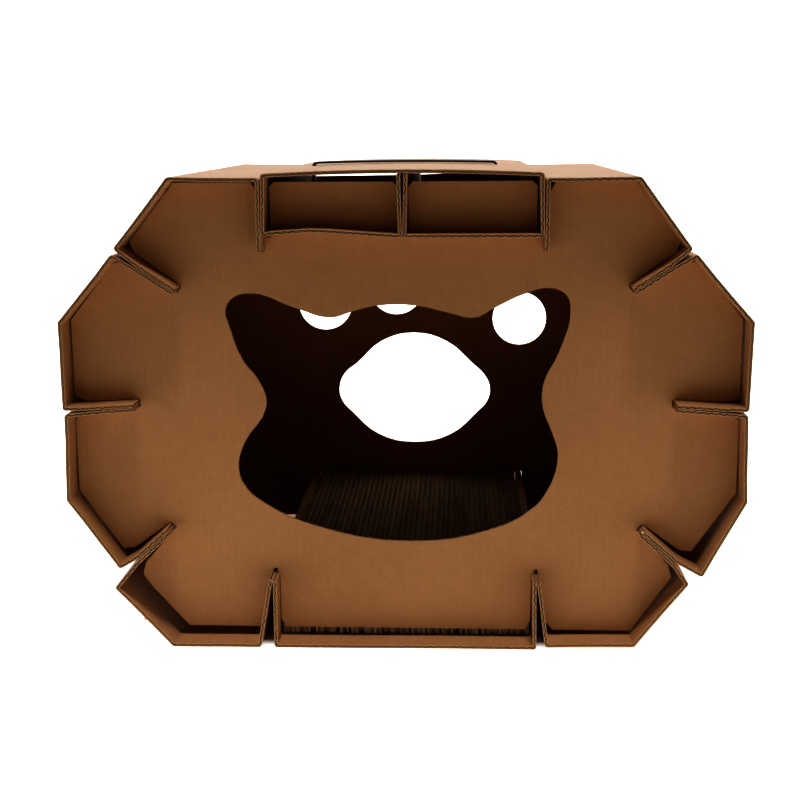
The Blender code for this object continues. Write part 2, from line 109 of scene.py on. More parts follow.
class Signal:
    """A number that varies over a surface, held as the socket that carries it."""

    def __init__(self, bench: "Bench", socket: bpy.types.NodeSocket) -> None:
        """Keeps the bench that adds nodes and the socket to read."""
        self.bench = bench
        self.socket = socket

    def _with(self, operation: str, *inputs: "Signal | float") -> "Signal":
        """Returns what a Math node makes of the inputs."""
        return self.bench.maths(operation, *inputs)

    def __add__(self, other: "Signal | float") -> "Signal":
        """Returns the sum."""
        return self._with("ADD", self, other)

    __radd__ = __add__

    def __sub__(self, other: "Signal | float") -> "Signal":
        """Returns the difference."""
        return self._with("SUBTRACT", self, other)

    def __rsub__(self, other: "Signal | float") -> "Signal":
        """Returns the difference the other way round."""
        return self._with("SUBTRACT", other, self)

    def __mul__(self, other: "Signal | float") -> "Signal":
        """Returns the product."""
        return self._with("MULTIPLY", self, other)

    __rmul__ = __mul__

    def wave(self) -> "Signal":
        """Returns the sine of the number, which is in radians."""
        return self._with("SINE", self)

    def held(self) -> "Signal":
        """Returns the number kept between 0 and 1."""
        return self._with("MINIMUM", self._with("MAXIMUM", self, 0.0), 1.0)


class Bench:
    """Where the nodes of one material are added and joined."""

    def __init__(self, name: str) -> None:
        """Starts a material with only its shader and its output.

        Args:
            name: The material's name.
        """
        self.material = bpy.data.materials.new(name)
        self.material.use_nodes = True
        self.tree = self.material.node_tree
        self.shader = self.tree.nodes["Principled BSDF"]

    def node(
        self, kind: str, settings: dict[str, Any] | None = None, sockets: dict[Any, Any] | None = None
    ) -> bpy.types.Node:
        """Adds a node.

        Args:
            kind: The node's type.
            settings: Its settings, set first; "stops" are a ramp's (place, colour) pairs.
            sockets: A value, a Signal or a socket to link for each input, by name or number.

        Returns:
            The node.
        """
        made = self.tree.nodes.new(kind)
        for name, value in (settings or {}).items():
            if name == "stops":
                ramp = made.color_ramp
                while len(ramp.elements) < len(value):
                    ramp.elements.new(0.5)
                for element, (place, colour) in zip(ramp.elements, value):
                    element.position = place
                    element.color = (*colour, 1.0)
            else:
                setattr(made, name, value)
        for key, value in (sockets or {}).items():
            self.feed(made.inputs[key], value)
        return made

    def feed(self, socket: bpy.types.NodeSocket, value: Any) -> None:
        """Links a socket to a Signal or to another socket, or else sets its value.

        Args:
            socket: The input to feed.
            value: The Signal, the socket or the plain value.
        """
        source = value.socket if isinstance(value, Signal) else value
        if isinstance(source, bpy.types.NodeSocket):
            self.tree.links.new(source, socket)
        else:
            socket.default_value = source

    def maths(self, operation: str, *inputs: Signal | float) -> Signal:
        """Returns what a Math node makes of the inputs."""
        made = self.node("ShaderNodeMath", {"operation": operation}, dict(enumerate(inputs)))
        return Signal(self, made.outputs[0])

    def place(self, source: str, scale: Sequence[float]) -> bpy.types.NodeSocket:
        """Returns a surface's own coordinates, stretched.

        Args:
            source: "Object" or "UV".
            scale: How many pattern units fit in a metre, along each axis.

        Returns:
            The vector socket.
        """
        points = self.node("ShaderNodeTexCoord").outputs[source]
        sockets = {"Vector": points, "Scale": tuple(scale)}
        return self.node("ShaderNodeMapping", {}, sockets).outputs["Vector"]

    def noise(
        self, source: str, scale: Sequence[float], detail: float = 3.0, rough: float = 0.55
    ) -> Signal:
        """Returns soft noise round 0.5 over a surface, placed as place() does."""
        sockets = {"Vector": self.place(source, scale), "Scale": 1.0, "Detail": detail, "Roughness": rough}
        return Signal(self, self.node("ShaderNodeTexNoise", {}, sockets).outputs[0])

    def cells(self, source: str, scale: Sequence[float]) -> Signal:
        """Returns the distance to the nearest of many scattered points, placed as place() does."""
        sockets = {"Vector": self.place(source, scale), "Scale": 1.0}
        return Signal(self, self.node("ShaderNodeTexVoronoi", {}, sockets).outputs["Distance"])

    def step(self, number: Signal, low: float, high: float) -> Signal:
        """Makes a soft step.

        Args:
            number: What is compared.
            low: Up to here the step is 0.
            high: From here on it is 1.

        Returns:
            The step.
        """
        sockets = {"Value": number, "From Min": low, "From Max": high}
        made = self.node("ShaderNodeMapRange", {"interpolation_type": "SMOOTHSTEP"}, sockets)
        return Signal(self, made.outputs["Result"])

    def parts(self, at: bpy.types.NodeSocket) -> tuple[Signal, Signal, Signal]:
        """Returns a vector's three numbers."""
        made = self.node("ShaderNodeSeparateXYZ", {}, {0: at})
        return tuple(Signal(self, made.outputs[axis]) for axis in range(3))

    def ramp(self, number: Signal, *stops: tuple[float, Colour]) -> bpy.types.NodeSocket:
        """Returns the colour of a ramp at a number."""
        return self.node("ShaderNodeValToRGB", {"stops": stops}, {"Fac": number}).outputs["Color"]

    def tint(
        self, colour: bpy.types.NodeSocket, other: Colour, share: Signal | float
    ) -> bpy.types.NodeSocket:
        """Mixes a colour with another.

        Args:
            colour: The colour's socket.
            other: The other colour.
            share: The other's share, from 0 to 1.

        Returns:
            The mixed colour's socket.
        """
        settings = {"data_type": "RGBA", "clamp_factor": True}
        sockets = {0: share, 6: colour, 7: (*other, 1.0)}
        return self.node("ShaderNodeMix", settings, sockets).outputs[2]

    def relief(self, height: Signal, distance: float) -> bpy.types.NodeSocket:
        """Returns the normal that a height of 0 to 1 gives at this depth in metres."""
        return self.node("ShaderNodeBump", {}, {"Height": height, "Distance": distance}).outputs["Normal"]

    def finish(self, values: dict[str, Any]) -> bpy.types.Material:
        """Sets or links the shader's sockets.

        Args:
            values: A value, a Signal or a socket for each input, by name.

        Returns:
            The material.
        """
        for key, value in values.items():
            self.feed(self.shader.inputs[key], value)
        return self.material


@dataclass(frozen=True)
class KraftLiner:
    """Brown paper facing: mottled, fibrous, with the flutes' washboard just showing through, its troughs
    painted darker as shade.

    It reads the piece's own UV map, whose U runs across the flutes and V along them.
    """

    name: str = "kraft_liner"
    light: Colour = (0.50, 0.285, 0.145)
    middle: Colour = (0.45, 0.248, 0.118)
    dark: Colour = (0.385, 0.205, 0.088)
    fleck: Colour = (0.20, 0.105, 0.045)
    pitch: float = 6.35 * MM
    washboard_shade: float = 0.08
    relief: float = 0.05 * MM

    def material(self) -> bpy.types.Material:
        """Mixes the material.

        Returns:
            The material.
        """
        bench = Bench(self.name)
        clouds = bench.noise("Object", (9.0, 9.0, 9.0), detail=4.0)
        mottle = bench.noise("Object", (95.0, 95.0, 95.0), detail=3.0, rough=0.65)
        fibres = bench.noise("UV", (260.0, 2100.0, 1.0), detail=4.0, rough=0.7)
        cross = bench.noise("UV", (900.0, 420.0, 1.0), detail=3.0, rough=0.7)
        shives = bench.cells("UV", (190.0, 640.0, 1.0))
        across = bench.parts(bench.place("UV", (1.0, 1.0, 1.0)))[0]
        ridge = (across * (2.0 * math.pi / self.pitch)).wave() * 0.5 + 0.5
        worn = bench.step(bench.noise("Object", (34.0, 34.0, 34.0), detail=6.0), 0.62, 0.78)

        shade = clouds * 0.26 + mottle * 0.20 + fibres * 0.34 + cross * 0.20
        colour = bench.ramp(shade, (0.36, self.dark), (0.50, self.middle), (0.64, self.light))
        # Painted shade: darkens the troughs between the washboard's ridges.
        colour = bench.tint(colour, self.dark, (1.0 - ridge) * self.washboard_shade)
        colour = bench.tint(colour, self.fleck, (1.0 - bench.step(shives, 0.05, 0.11)) * 0.55)
        colour = bench.tint(colour, self.light, worn * 0.35)
        rough = (0.64 + (fibres - 0.5) * 0.22 + (mottle - 0.5) * 0.12).held()
        height = ridge * 0.30 + fibres * 0.42 + cross * 0.28
        normal = bench.relief(height, self.relief)
        return bench.finish(
            {"Base Color": colour, "Roughness": rough, "Normal": normal, "Specular IOR Level": 0.45}
        )


@dataclass(frozen=True)
class CutPaper:
    """The raw edge of a liner where the die cut it: paler, furry and a little dirty."""

    name: str = "cut_paper"
    light: Colour = (0.56, 0.38, 0.22)
    dark: Colour = (0.38, 0.235, 0.12)
    relief: float = 0.18 * MM

    def material(self) -> bpy.types.Material:
        """Mixes the material.

        Returns:
            The material.
        """
        bench = Bench(self.name)
        fur = bench.noise("Object", (1500.0, 900.0, 1500.0), detail=4.0, rough=0.75)
        grime = bench.noise("Object", (70.0, 70.0, 70.0), detail=3.0)
        colour = bench.ramp(fur, (0.34, self.dark), (0.62, self.light))
        colour = bench.tint(colour, self.dark, bench.step(grime, 0.48, 0.70) * 0.6)
        normal = bench.relief(fur, self.relief)
        return bench.finish(
            {"Base Color": colour, "Roughness": 0.94, "Normal": normal, "Specular IOR Level": 0.2}
        )


@dataclass(frozen=True)
class FluteMedium:
    """The wavy paper inside the board: thinner, darker, with glue marks along its crests."""

    name: str = "flute_medium"
    light: Colour = (0.46, 0.29, 0.15)
    dark: Colour = (0.32, 0.19, 0.09)
    relief: float = 0.08 * MM

    def material(self) -> bpy.types.Material:
        """Mixes the material.

        Returns:
            The material.
        """
        bench = Bench(self.name)
        grain = bench.noise("Object", (520.0, 60.0, 520.0), detail=4.0, rough=0.7)
        glue = bench.step(bench.noise("Object", (45.0, 210.0, 45.0), detail=2.0), 0.58, 0.70)
        colour = bench.ramp(grain, (0.33, self.dark), (0.66, self.light))
        colour = bench.tint(colour, self.light, glue * 0.4)
        rough = (0.9 - glue * 0.25).held()
        return bench.finish(
            {"Base Color": colour, "Roughness": rough, "Normal": bench.relief(grain, self.relief)}
        )


@dataclass(frozen=True)
class ScratchFlutes:
    """The cut tops of the pad's strips: rough paper, greyer and clawed in places."""

    name: str = "scratch_flutes"
    light: Colour = (0.66, 0.54, 0.40)
    dark: Colour = (0.40, 0.31, 0.215)
    relief: float = 0.2 * MM

    def material(self) -> bpy.types.Material:
        """Mixes the material.

        Returns:
            The material.
        """
        bench = Bench(self.name)
        fur = bench.noise("Object", (800.0, 800.0, 160.0), detail=4.0, rough=0.7)
        strips = bench.noise("Object", (150.0, 7.0, 7.0), detail=2.0)
        clawed = bench.step(bench.noise("Object", (26.0, 9.0, 26.0), detail=5.0), 0.56, 0.72)
        shade = fur * 0.6 + strips * 0.4
        colour = bench.ramp(shade, (0.36, self.dark), (0.62, self.light))
        colour = bench.tint(colour, self.light, clawed * 0.4)
        normal = bench.relief(fur, self.relief)
        return bench.finish(
            {"Base Color": colour, "Roughness": 0.95, "Normal": normal, "Specular IOR Level": 0.2}
        )


@dataclass(frozen=True)
class MouldedStrap:
    """Dark moulded plastic with a fine spark-eroded grain, flow lines and small rubs."""

    name: str = "moulded_strap"
    deep: Colour = (0.016, 0.016, 0.010)
    rubbed: Colour = (0.060, 0.058, 0.042)
    relief: float = 0.03 * MM

    def material(self) -> bpy.types.Material:
        """Mixes the material.

        Returns:
            The material.
        """
        bench = Bench(self.name)
        grain = bench.noise("Object", (2600.0, 2600.0, 2600.0), detail=2.0)
        flow = bench.noise("Object", (18.0, 260.0, 90.0), detail=3.0)
        rubs = bench.step(bench.noise("Object", (130.0, 600.0, 130.0), detail=5.0), 0.60, 0.72)
        colour = bench.ramp(flow, (0.35, self.deep), (0.75, self.rubbed))
        colour = bench.tint(colour, self.rubbed, rubs * 0.5)
        rough = (0.34 + grain * 0.12 + rubs * 0.2).held()
        return bench.finish(
            {"Base Color": colour, "Roughness": rough, "Normal": bench.relief(grain, self.relief)}
        )


@dataclass(frozen=True)
class StudioWhite:
    """A matt white sweep, just uneven enough to be real, whose own surface glows with painted light, like a
    light table, except under the house, where the glow is left out as painted shade.

    The glow ends a little in front of the house, so that its painted light on the front panel fades towards
    the roof.
    """

    name: str = "studio_white"
    tone: Colour = (0.90, 0.90, 0.90)
    unevenness: float = 0.985
    glow: float = 0.56
    glow_from: float = -0.62
    glow_edge: float = 0.06
    shade_half: tuple[float, float] = (0.18, 0.20)
    shade_edge: float = 0.02

    def material(self) -> bpy.types.Material:
        """Mixes the material.

        Returns:
            The material.
        """
        bench = Bench(self.name)
        uneven = bench.noise("Object", (1.2, 1.2, 1.2), detail=2.0)
        soft = tuple(part * self.unevenness for part in self.tone)
        colour = bench.ramp(uneven, (0.3, soft), (0.7, self.tone))
        across, deep, _ = bench.parts(bench.place("Object", (1.0, 1.0, 1.0)))
        half_x, half_y = self.shade_half
        # Painted shade: the glow is switched off over the house's footprint, so the floor under it stays
        # dark.
        shade_x = 1.0 - bench.step(bench.maths("ABSOLUTE", across), half_x, half_x + self.shade_edge)
        shade_y = 1.0 - bench.step(bench.maths("ABSOLUTE", deep), half_y - self.shade_edge, half_y)
        # Painted light: the sweep glows from a little in front of the house backwards.
        lit = bench.step(deep, self.glow_from - self.glow_edge, self.glow_from + self.glow_edge)
        glow = bench.ramp(lit * (1.0 - shade_x * shade_y), (0.0, UNLIT), (1.0, FULL_WHITE))
        own = {"Emission Color": glow, "Emission Strength": self.glow}
        return bench.finish({"Base Color": colour, "Roughness": 0.9, "Specular IOR Level": 0.1, **own})


@dataclass(frozen=True)
class Finishes:
    """Every material of the house, made once."""

    liner: bpy.types.Material
    panel: bpy.types.Material
    cut: bpy.types.Material
    torn: bpy.types.Material
    medium: bpy.types.Material
    pad: bpy.types.Material
    strap: bpy.types.Material

    @classmethod
    def mixed(cls) -> "Finishes":
        """Mixes every finish, the end panels' a little darker and redder than the walls', as painted shade.

        Returns:
            The finishes.
        """
        # Painted shade: the end panels get the walls' liner made darker and redder, with deeper painted shade
        # in its washboard troughs, for the deeper shade they sit in.
        panel = KraftLiner(
            name="kraft_liner_panel",
            light=(0.485, 0.262, 0.118),
            middle=(0.430, 0.225, 0.094),
            dark=(0.370, 0.186, 0.072),
            washboard_shade=0.12,
        )
        return cls(
            liner=KraftLiner().material(),
            panel=panel.material(),
            cut=CutPaper().material(),
            torn=CutPaper("torn_paper", light=(0.86, 0.74, 0.58), dark=(0.66, 0.50, 0.34)).material(),
            medium=FluteMedium().material(),
            pad=ScratchFlutes().material(),
            strap=MouldedStrap().material(),
        )


class Hands:
    """What a modeller does by hand: select, place, extrude, cut and join."""

    @staticmethod
    def let_go() -> None:
        """Leaves edit mode and deselects everything."""
        if bpy.context.object is not None and bpy.context.object.mode != "OBJECT":
            bpy.ops.object.mode_set(mode="OBJECT")
        bpy.ops.object.select_all(action="DESELECT")

    @staticmethod
    def take(*held: bpy.types.Object) -> bpy.types.Object:
        """Selects these objects alone and makes the first the active one.

        Args:
            held: The objects.

        Returns:
            The first of them.
        """
        Hands.let_go()
        for piece in held:
            piece.select_set(True)
        bpy.context.view_layer.objects.active = held[0]
        return held[0]

    @staticmethod
    def pick(piece: bpy.types.Object, mode: str, wanted: Callable[[Any], bool]) -> None:
        """Selects in edit mode the elements that a test wants.

        Args:
            piece: The object, which is in edit mode.
            mode: "VERT", "EDGE" or "FACE".
            wanted: A test of one element.
        """
        bpy.ops.mesh.select_mode(type=mode)
        bpy.ops.mesh.select_all(action="DESELECT")
        edited = bmesh.from_edit_mesh(piece.data)
        elements = {"VERT": edited.verts, "EDGE": edited.edges, "FACE": edited.faces}[mode]
        for element in elements:
            if wanted(element):
                element.select_set(True)
        edited.select_flush_mode()
        bmesh.update_edit_mesh(piece.data)

    @staticmethod
    def set_corners(piece: bpy.types.Object, goal_of: Callable[[Vector], Vector]) -> None:
        """Moves each vertex of a new primitive, which is in edit mode.

        Args:
            piece: The primitive.
            goal_of: Gives a vertex's goal from its place.
        """
        starts = [vertex.co.copy() for vertex in bmesh.from_edit_mesh(piece.data).verts]
        for index, start in enumerate(starts):
            Hands.pick(piece, "VERT", lambda vertex, index=index: vertex.index == index)
            bpy.ops.transform.translate(value=goal_of(start) - start)

    @staticmethod
    def coat(piece: bpy.types.Object, *materials: bpy.types.Material) -> None:
        """Gives a piece its materials.

        Args:
            piece: The piece.
            materials: Its materials, in the order of its slots.
        """
        piece.data.materials.clear()
        for material in materials:
            piece.data.materials.append(material)

    @staticmethod
    def ribbon(name: str, line: Sequence[Vector], rise: Vector) -> bpy.types.Object:
        """Models a ribbon: one edge drawn along a line, step by step.

        Args:
            name: The new object's name.
            line: The points that one side of the ribbon runs through.
            rise: From that side to the other.

        Returns:
            The ribbon, still without thickness.
        """
        Hands.let_go()
        bpy.ops.mesh.primitive_plane_add(size=2.0)
        ribbon = bpy.context.object
        ribbon.name = name
        corners = {(-1, -1): line[0], (1, -1): line[1], (-1, 1): line[0] + rise, (1, 1): line[1] + rise}
        bpy.ops.object.mode_set(mode="EDIT")
        Hands.set_corners(ribbon, lambda start: corners[(round(start.x), round(start.y))])
        ends = (line[1], line[1] + rise)
        Hands.pick(
            ribbon,
            "EDGE",
            lambda edge: all(min((v.co - end).length for end in ends) < SAME_POINT for v in edge.verts),
        )
        for before, after in zip(line[1:], line[2:]):
            bpy.ops.mesh.extrude_edges_move(TRANSFORM_OT_translate={"value": after - before})
        bpy.ops.object.mode_set(mode="OBJECT")
        return ribbon

    @staticmethod
    def apply(piece: bpy.types.Object, kind: str, **settings: Any) -> None:
        """Adds a modifier and applies it.

        Args:
            piece: The piece.
            kind: The modifier's type.
            settings: The modifier's settings.
        """
        Hands.take(piece)
        modifier = piece.modifiers.new(kind.lower(), kind)
        for name, value in settings.items():
            setattr(modifier, name, value)
        bpy.ops.object.modifier_apply(modifier=modifier.name)

    @staticmethod
    def thicken(piece: bpy.types.Object, thickness: float, rim: int = 0) -> None:
        """Gives a sheet its thickness, half on each side.

        Args:
            piece: The sheet.
            thickness: Its thickness.
            rim: How many slots after the sheet's own material its rim's is.
        """
        Hands.apply(
            piece,
            "SOLIDIFY",
            thickness=thickness,
            offset=0.0,
            use_even_offset=True,
            thickness_clamp=0.0,
            material_offset_rim=rim,
        )

    @staticmethod
    def box(name: str, low: Vector, high: Vector) -> bpy.types.Object:
        """Makes a box between two corners, for cutting.

        Args:
            name: The box's name.
            low: Its lowest corner.
            high: Its highest corner.

        Returns:
            The box.
        """
        Hands.let_go()
        bpy.ops.mesh.primitive_cube_add(size=1.0, location=(low + high) / 2)
        box = bpy.context.object
        box.name = name
        box.scale = high - low
        bpy.ops.object.transform_apply(location=True, rotation=True, scale=True)
        return box

    @staticmethod
    def wedge(
        name: str, corners: Sequence[Sequence[float]], sides: tuple[float, float]
    ) -> bpy.types.Object:
        """Returns a four-cornered prism along Y, for cutting.

        Args:
            name: The prism's name.
            corners: Its corners in mm along X and Z: low left, low right, high right, high left.
            sides: Where it starts and ends along Y.

        Returns:
            The prism.
        """
        Hands.let_go()
        bpy.ops.mesh.primitive_cube_add(size=2.0)
        prism = bpy.context.object
        prism.name = name
        bpy.ops.object.mode_set(mode="EDIT")
        order = {(-1, -1): 0, (1, -1): 1, (1, 1): 2, (-1, 1): 3}

        def goal_of(start: Vector) -> Vector:
            """Returns where a corner of the cube goes."""
            x, z = corners[order[(round(start.x), round(start.z))]]
            return Vector((x * MM, sides[0] if start.y < 0 else sides[1], z * MM))

        Hands.set_corners(prism, goal_of)
        bpy.ops.object.mode_set(mode="OBJECT")
        return prism

    @staticmethod
    def cut(piece: bpy.types.Object, tool: bpy.types.Object, keep: str = "DIFFERENCE") -> None:
        """Cuts a piece with a closed tool, which stays."""
        Hands.apply(piece, "BOOLEAN", object=tool, operation=keep, solver="EXACT")

    @staticmethod
    def discard(*tools: bpy.types.Object) -> None:
        """Removes tools that are no longer needed."""
        for tool in tools:
            bpy.data.objects.remove(tool, do_unlink=True)

    @staticmethod
    def copied(source: bpy.types.Object, name: str) -> bpy.types.Object:
        """Copies an object with its own mesh, riding on nothing.

        Args:
            source: What is copied.
            name: The copy's name.

        Returns:
            The copy.
        """
        made = source.copy()
        made.data = source.data.copy()
        made.name = name
        for key in list(made.keys()):
            del made[key]
        made.parent = None
        made.matrix_world = Matrix.Identity(4)
        made.hide_render = False
        made.hide_viewport = False
        bpy.context.scene.collection.objects.link(made)
        return made

    @staticmethod
    def joined(name: str, pieces: Sequence[bpy.types.Object]) -> bpy.types.Object:
        """Joins pieces into one object at the origin.

        Args:
            name: The whole's name.
            pieces: What is joined.

        Returns:
            The whole.
        """
        whole = Hands.take(*pieces)
        if len(pieces) > 1:
            bpy.ops.object.join()
        whole.name = name
        whole.data.name = name
        bpy.ops.object.transform_apply(location=True, rotation=True, scale=True)
        return whole

    @staticmethod
    def smooth(piece: bpy.types.Object, degrees: float) -> None:
        """Shades a piece smooth, except at edges sharper than this."""
        Hands.take(piece)
        bpy.ops.object.shade_smooth_by_angle(angle=math.radians(degrees))


class End(Enum):
    """The two ends of the house."""

    FRONT = -1
    REAR = 1


class Hand(Enum):
    """The two sides of the house."""

    LEFT = -1
    RIGHT = 1


def left_of(direction: Vector) -> Vector:
    """Returns the unit normal on the left of a direction in the profile's plane."""
    return Vector((-direction.y, direction.x)).normalized()


@dataclass(frozen=True)
class Fin:
    """Two flanges back to back, pressed together by the panels, where one section ends."""

    mouth: Vector
    inward: Vector
    along: Vector
    width: float
    pressed: float


@dataclass
class ShellPlan:
    """The shell's profile, as in the frame, with the beam and the handle that its slots fit."""

    board: float = 3.0 * MM
    touch: float = 0.3 * MM
    width: float = 550.0 * MM
    depth: float = 400.0 * MM
    height: float = 384.0 * MM
    roof_corner_x: float = 184.5 * MM
    floor_corner_x: float = 188.0 * MM
    side_top_z: float = 270.5 * MM
    side_bottom_z: float = 125.0 * MM
    fin_length: float = 58.0 * MM
    lower_bulge: float = 5.6 * MM
    recess: float = 21.0 * MM
    beam_rise: float = 3.0 * MM
    beam_bow: float = 3.0 * MM
    beam_height: float = 50.0 * MM
    divider_top_gap: float = 0.5 * MM
    divider_side_gap: float = 1.2 * MM
    tab_side_gap: float = 2.0 * MM
    tab_slot_gap: float = 0.5 * MM
    floor_fin_x: float = 111.5 * MM
    floor_mouth: float = 8.5 * MM
    lower_mouth: float = 13.0 * MM
    side_mouth: float = 3.0 * MM
    upper_mouth: float = 5.0 * MM
    roof_fin_x: float = 111.2 * MM
    roof_mouth: float = 2.2 * MM
    pressed_at: tuple[float, float] = (0.7, 0.38)
    handle_x: float = -5.0 * MM
    handle_span: float = 168.0 * MM
    handle_width: float = 20.0 * MM
    handle_thickness: float = 2.0 * MM

    def corners(self) -> tuple[Vector, ...]:
        """Works out the shell's corners on the right.

        Returns:
            The corners, from the floor up.
        """
        return (
            Vector((self.floor_corner_x, 0.0)),
            Vector((self.width / 2, self.side_bottom_z)),
            Vector((self.width / 2, self.side_top_z)),
            Vector((self.roof_corner_x, self.height)),
        )

    def fins(self) -> tuple[Fin, ...]:
        """Works out the fins on the right.

        Each row holds where the fin's mouth is, its angle in degrees from +X, the way that the
        shell runs there, how wide the mouth is and how far its flanges are pressed together.

        Returns:
            The fins, from the floor up.
        """
        floor, side_bottom, side_top, roof = self.corners()
        rightward, diagonal = Vector((1.0, 0.0)), side_bottom - floor
        bulged = (floor + side_bottom) / 2 - left_of(diagonal) * self.lower_bulge
        rows = (
            (Vector((self.floor_fin_x, 0.0)), 93.5, rightward, self.floor_mouth, 0.0),
            (bulged, 138.0, diagonal, self.lower_mouth, 0.85),
            ((side_bottom + side_top) / 2, 176.0, side_top - side_bottom, self.side_mouth, 0.6),
            ((side_top + roof) / 2, 213.5, roof - side_top, self.upper_mouth, 0.8),
            (Vector((self.roof_fin_x, self.height)), 270.0, -rightward, self.roof_mouth, 0.0),
        )
        made = []
        for mouth, degrees, along, width, pressed in rows:
            angle = math.radians(degrees)
            inward = Vector((math.cos(angle), math.sin(angle)))
            made.append(Fin(mouth, inward, along.normalized(), width, pressed))
        return tuple(made)

    @staticmethod
    def mirrored(fin: Fin) -> Fin:
        """Mirrors a fin to the left, where the shell runs the other way.

        Args:
            fin: The fin on the right.

        Returns:
            Its twin.
        """
        return Fin(
            Vector((-fin.mouth.x, fin.mouth.y)),
            Vector((-fin.inward.x, fin.inward.y)),
            Vector((fin.along.x, -fin.along.y)),
            fin.width,
            fin.pressed,
        )

    def flange(self, fin: Fin, side: int, found: Vector) -> list[Vector]:
        """Returns the outer face of a flange, from its tip to its crease.

        Args:
            fin: The fin that it belongs to.
            side: 1 for the flange after the fin, -1 for the one before it.
            found: How far from the plan its crease was found.

        Returns:
            The points of the face.
        """
        crease = fin.mouth + fin.along * side * fin.width / 2 + found
        across = left_of(fin.inward)
        if across.dot(fin.along) * side < 0:
            across = -across
        tip = fin.mouth + fin.inward * self.fin_length + across * self.touch / 2
        face = [tip]
        for share in self.pressed_at if fin.pressed else ():
            closed = tip - fin.inward * self.fin_length * (1.0 - share)
            face.append(crease.lerp(tip, share).lerp(closed, fin.pressed))
        return [*face, crease]

    def section(self, name: str, before: Fin, corner: Vector | None, after: Fin) -> list[Vector]:
        """Works out the outer face of a section between two fins.

        Args:
            name: The section's node.
            before: The fin where it starts.
            corner: The shell's corner between the fins, if it has one.
            after: The fin where it ends.

        Returns:
            The points of the face.
        """
        found = [Vector(shift) * MM for shift in AS_FOUND[name]]
        bend = [] if corner is None else [corner + found[1]]
        leaving = reversed(self.flange(after, -1, found[-1]))
        return [*self.flange(before, 1, found[0]), *bend, *leaving]

    def sections(self) -> dict[str, list[Vector]]:
        """Works out the outer faces of the nine plain sections.

        Returns:
            The points of each face, by the section's node.
        """
        right = self.fins()
        left = [self.mirrored(fin) for fin in right]
        names = ("floor_corner", "lower_side", "upper_side", "roof_corner")
        lines = {"floor_channel": self.section("floor_channel", left[0], None, right[0])}
        for name, corner, low, high in zip(names, self.corners(), right, right[1:]):
            lines[f"{name}_right"] = self.section(f"{name}_right", low, corner, high)
        for name, corner, low, high in zip(names, self.corners(), left, left[1:]):
            twin = Vector((-corner.x, corner.y))
            lines[f"{name}_left"] = self.section(f"{name}_left", high, twin, low)
        return lines

    def beam_edge(self) -> Vector:
        """Returns the top of the beam's right side."""
        return Vector((self.roof_fin_x - self.roof_mouth / 2, self.height + self.beam_rise))

    def beam_foot(self) -> Vector:
        """Works out where the beam's right side ends.

        Returns:
            The bottom of that side.
        """
        edge = self.beam_edge()
        tip = Vector((self.roof_fin_x - self.touch / 2, edge.y - self.fin_length))
        return edge.lerp(tip, self.beam_height / self.fin_length)

    def skin_top(self, x: float) -> float:
        """Returns the height of the beam's bowed skin at this distance from its middle."""
        edge = self.beam_edge()
        return edge.y + self.beam_bow * (1.0 - (x / edge.x) ** 2)

    def tab_sides(self) -> tuple[float, float]:
        """Returns how far from the middle a panel's tab begins and ends."""
        inner = self.touch / 2 + self.board + self.divider_side_gap
        return inner, self.beam_foot().x - self.board - self.tab_side_gap

    def panel_middle(self, end: End) -> float:
        """Returns the middle of an end panel's thickness along Y."""
        return end.value * (self.depth / 2 - self.recess - self.board / 2)


class FoldLine:
    """One layer of a folded board seen from its end: straight stretches joined by round folds."""

    STEP: float = math.radians(16.0)
    NO_TURN: float = 1e-6
    NO_LENGTH: float = 1e-9

    def __init__(self, outer: Sequence[Vector], depth: float, radius: float) -> None:
        """Works out the stretches from the outer face's corners.

        Args:
            outer: The corners of the board's outer face, with the board on the left of them.
            depth: How far below that face the layer lies.
            radius: The radius of the layer's folds.
        """
        self.parts: list[tuple] = []
        self.stops: list[float] = [0.0]
        middle = self._lowered(outer, depth)
        way, start = 0.0, middle[0]
        for index in range(1, len(middle)):
            along = (middle[index] - middle[index - 1]).normalized()
            if index == len(middle) - 1:
                end, turn = middle[index], 0.0
            else:
                after = (middle[index + 1] - middle[index]).normalized()
                turn = math.atan2(along.cross(after), along.dot(after))
                end = middle[index] - along * radius * math.tan(abs(turn) / 2)
            run = (end - start).dot(along)
            self.parts.append((way, run, start, along, 0.0, 0.0))
            way += run
            self.stops.append(way)
            if abs(turn) > self.NO_TURN:
                arc = radius * abs(turn)
                self.parts.append((way, arc, end, along, turn, radius))
                steps = max(1, round(abs(turn) / self.STEP))
                self.stops += [way + arc * step / steps for step in range(1, steps + 1)]
                way += arc
                start = middle[index] + after * radius * math.tan(abs(turn) / 2)
            else:
                start = end
        self.length = way

    @staticmethod
    def _lowered(outer: Sequence[Vector], depth: float) -> list[Vector]:
        """Works out the line that runs below the outer face.

        Args:
            outer: The corners of the outer face.
            depth: How far below it the line runs.

        Returns:
            The corners of the line.
        """
        normals = [left_of(after - before) for before, after in zip(outer, outer[1:])]
        lowered = [outer[0] + normals[0] * depth]
        for point, one, two in zip(outer[1:], normals, normals[1:]):
            mitre = (one + two).normalized()
            lowered.append(point + mitre * depth / mitre.dot(one))
        lowered.append(outer[-1] + normals[-1] * depth)
        return lowered

    def at(self, way: float, inward: float = 0.0) -> Vector:
        """Finds the point at a way along the line.

        Args:
            way: The way along.
            inward: How far inward from the line the point is moved.

        Returns:
            The point.
        """
        way = min(max(way, 0.0), self.length)
        part = next(p for p in reversed(self.parts) if way >= p[0] - self.NO_LENGTH)
        start_way, run, start, along, turn, radius = part
        share = (way - start_way) / run if run else 0.0
        normal = left_of(along)
        if not turn:
            point = start + along * (way - start_way)
        else:
            side = math.copysign(1.0, turn)
            centre = start + normal * side * radius
            turned = Matrix.Rotation(turn * share, 2)
            point = centre + turned @ (start - centre)
            normal = turned @ normal
        return point + normal * inward


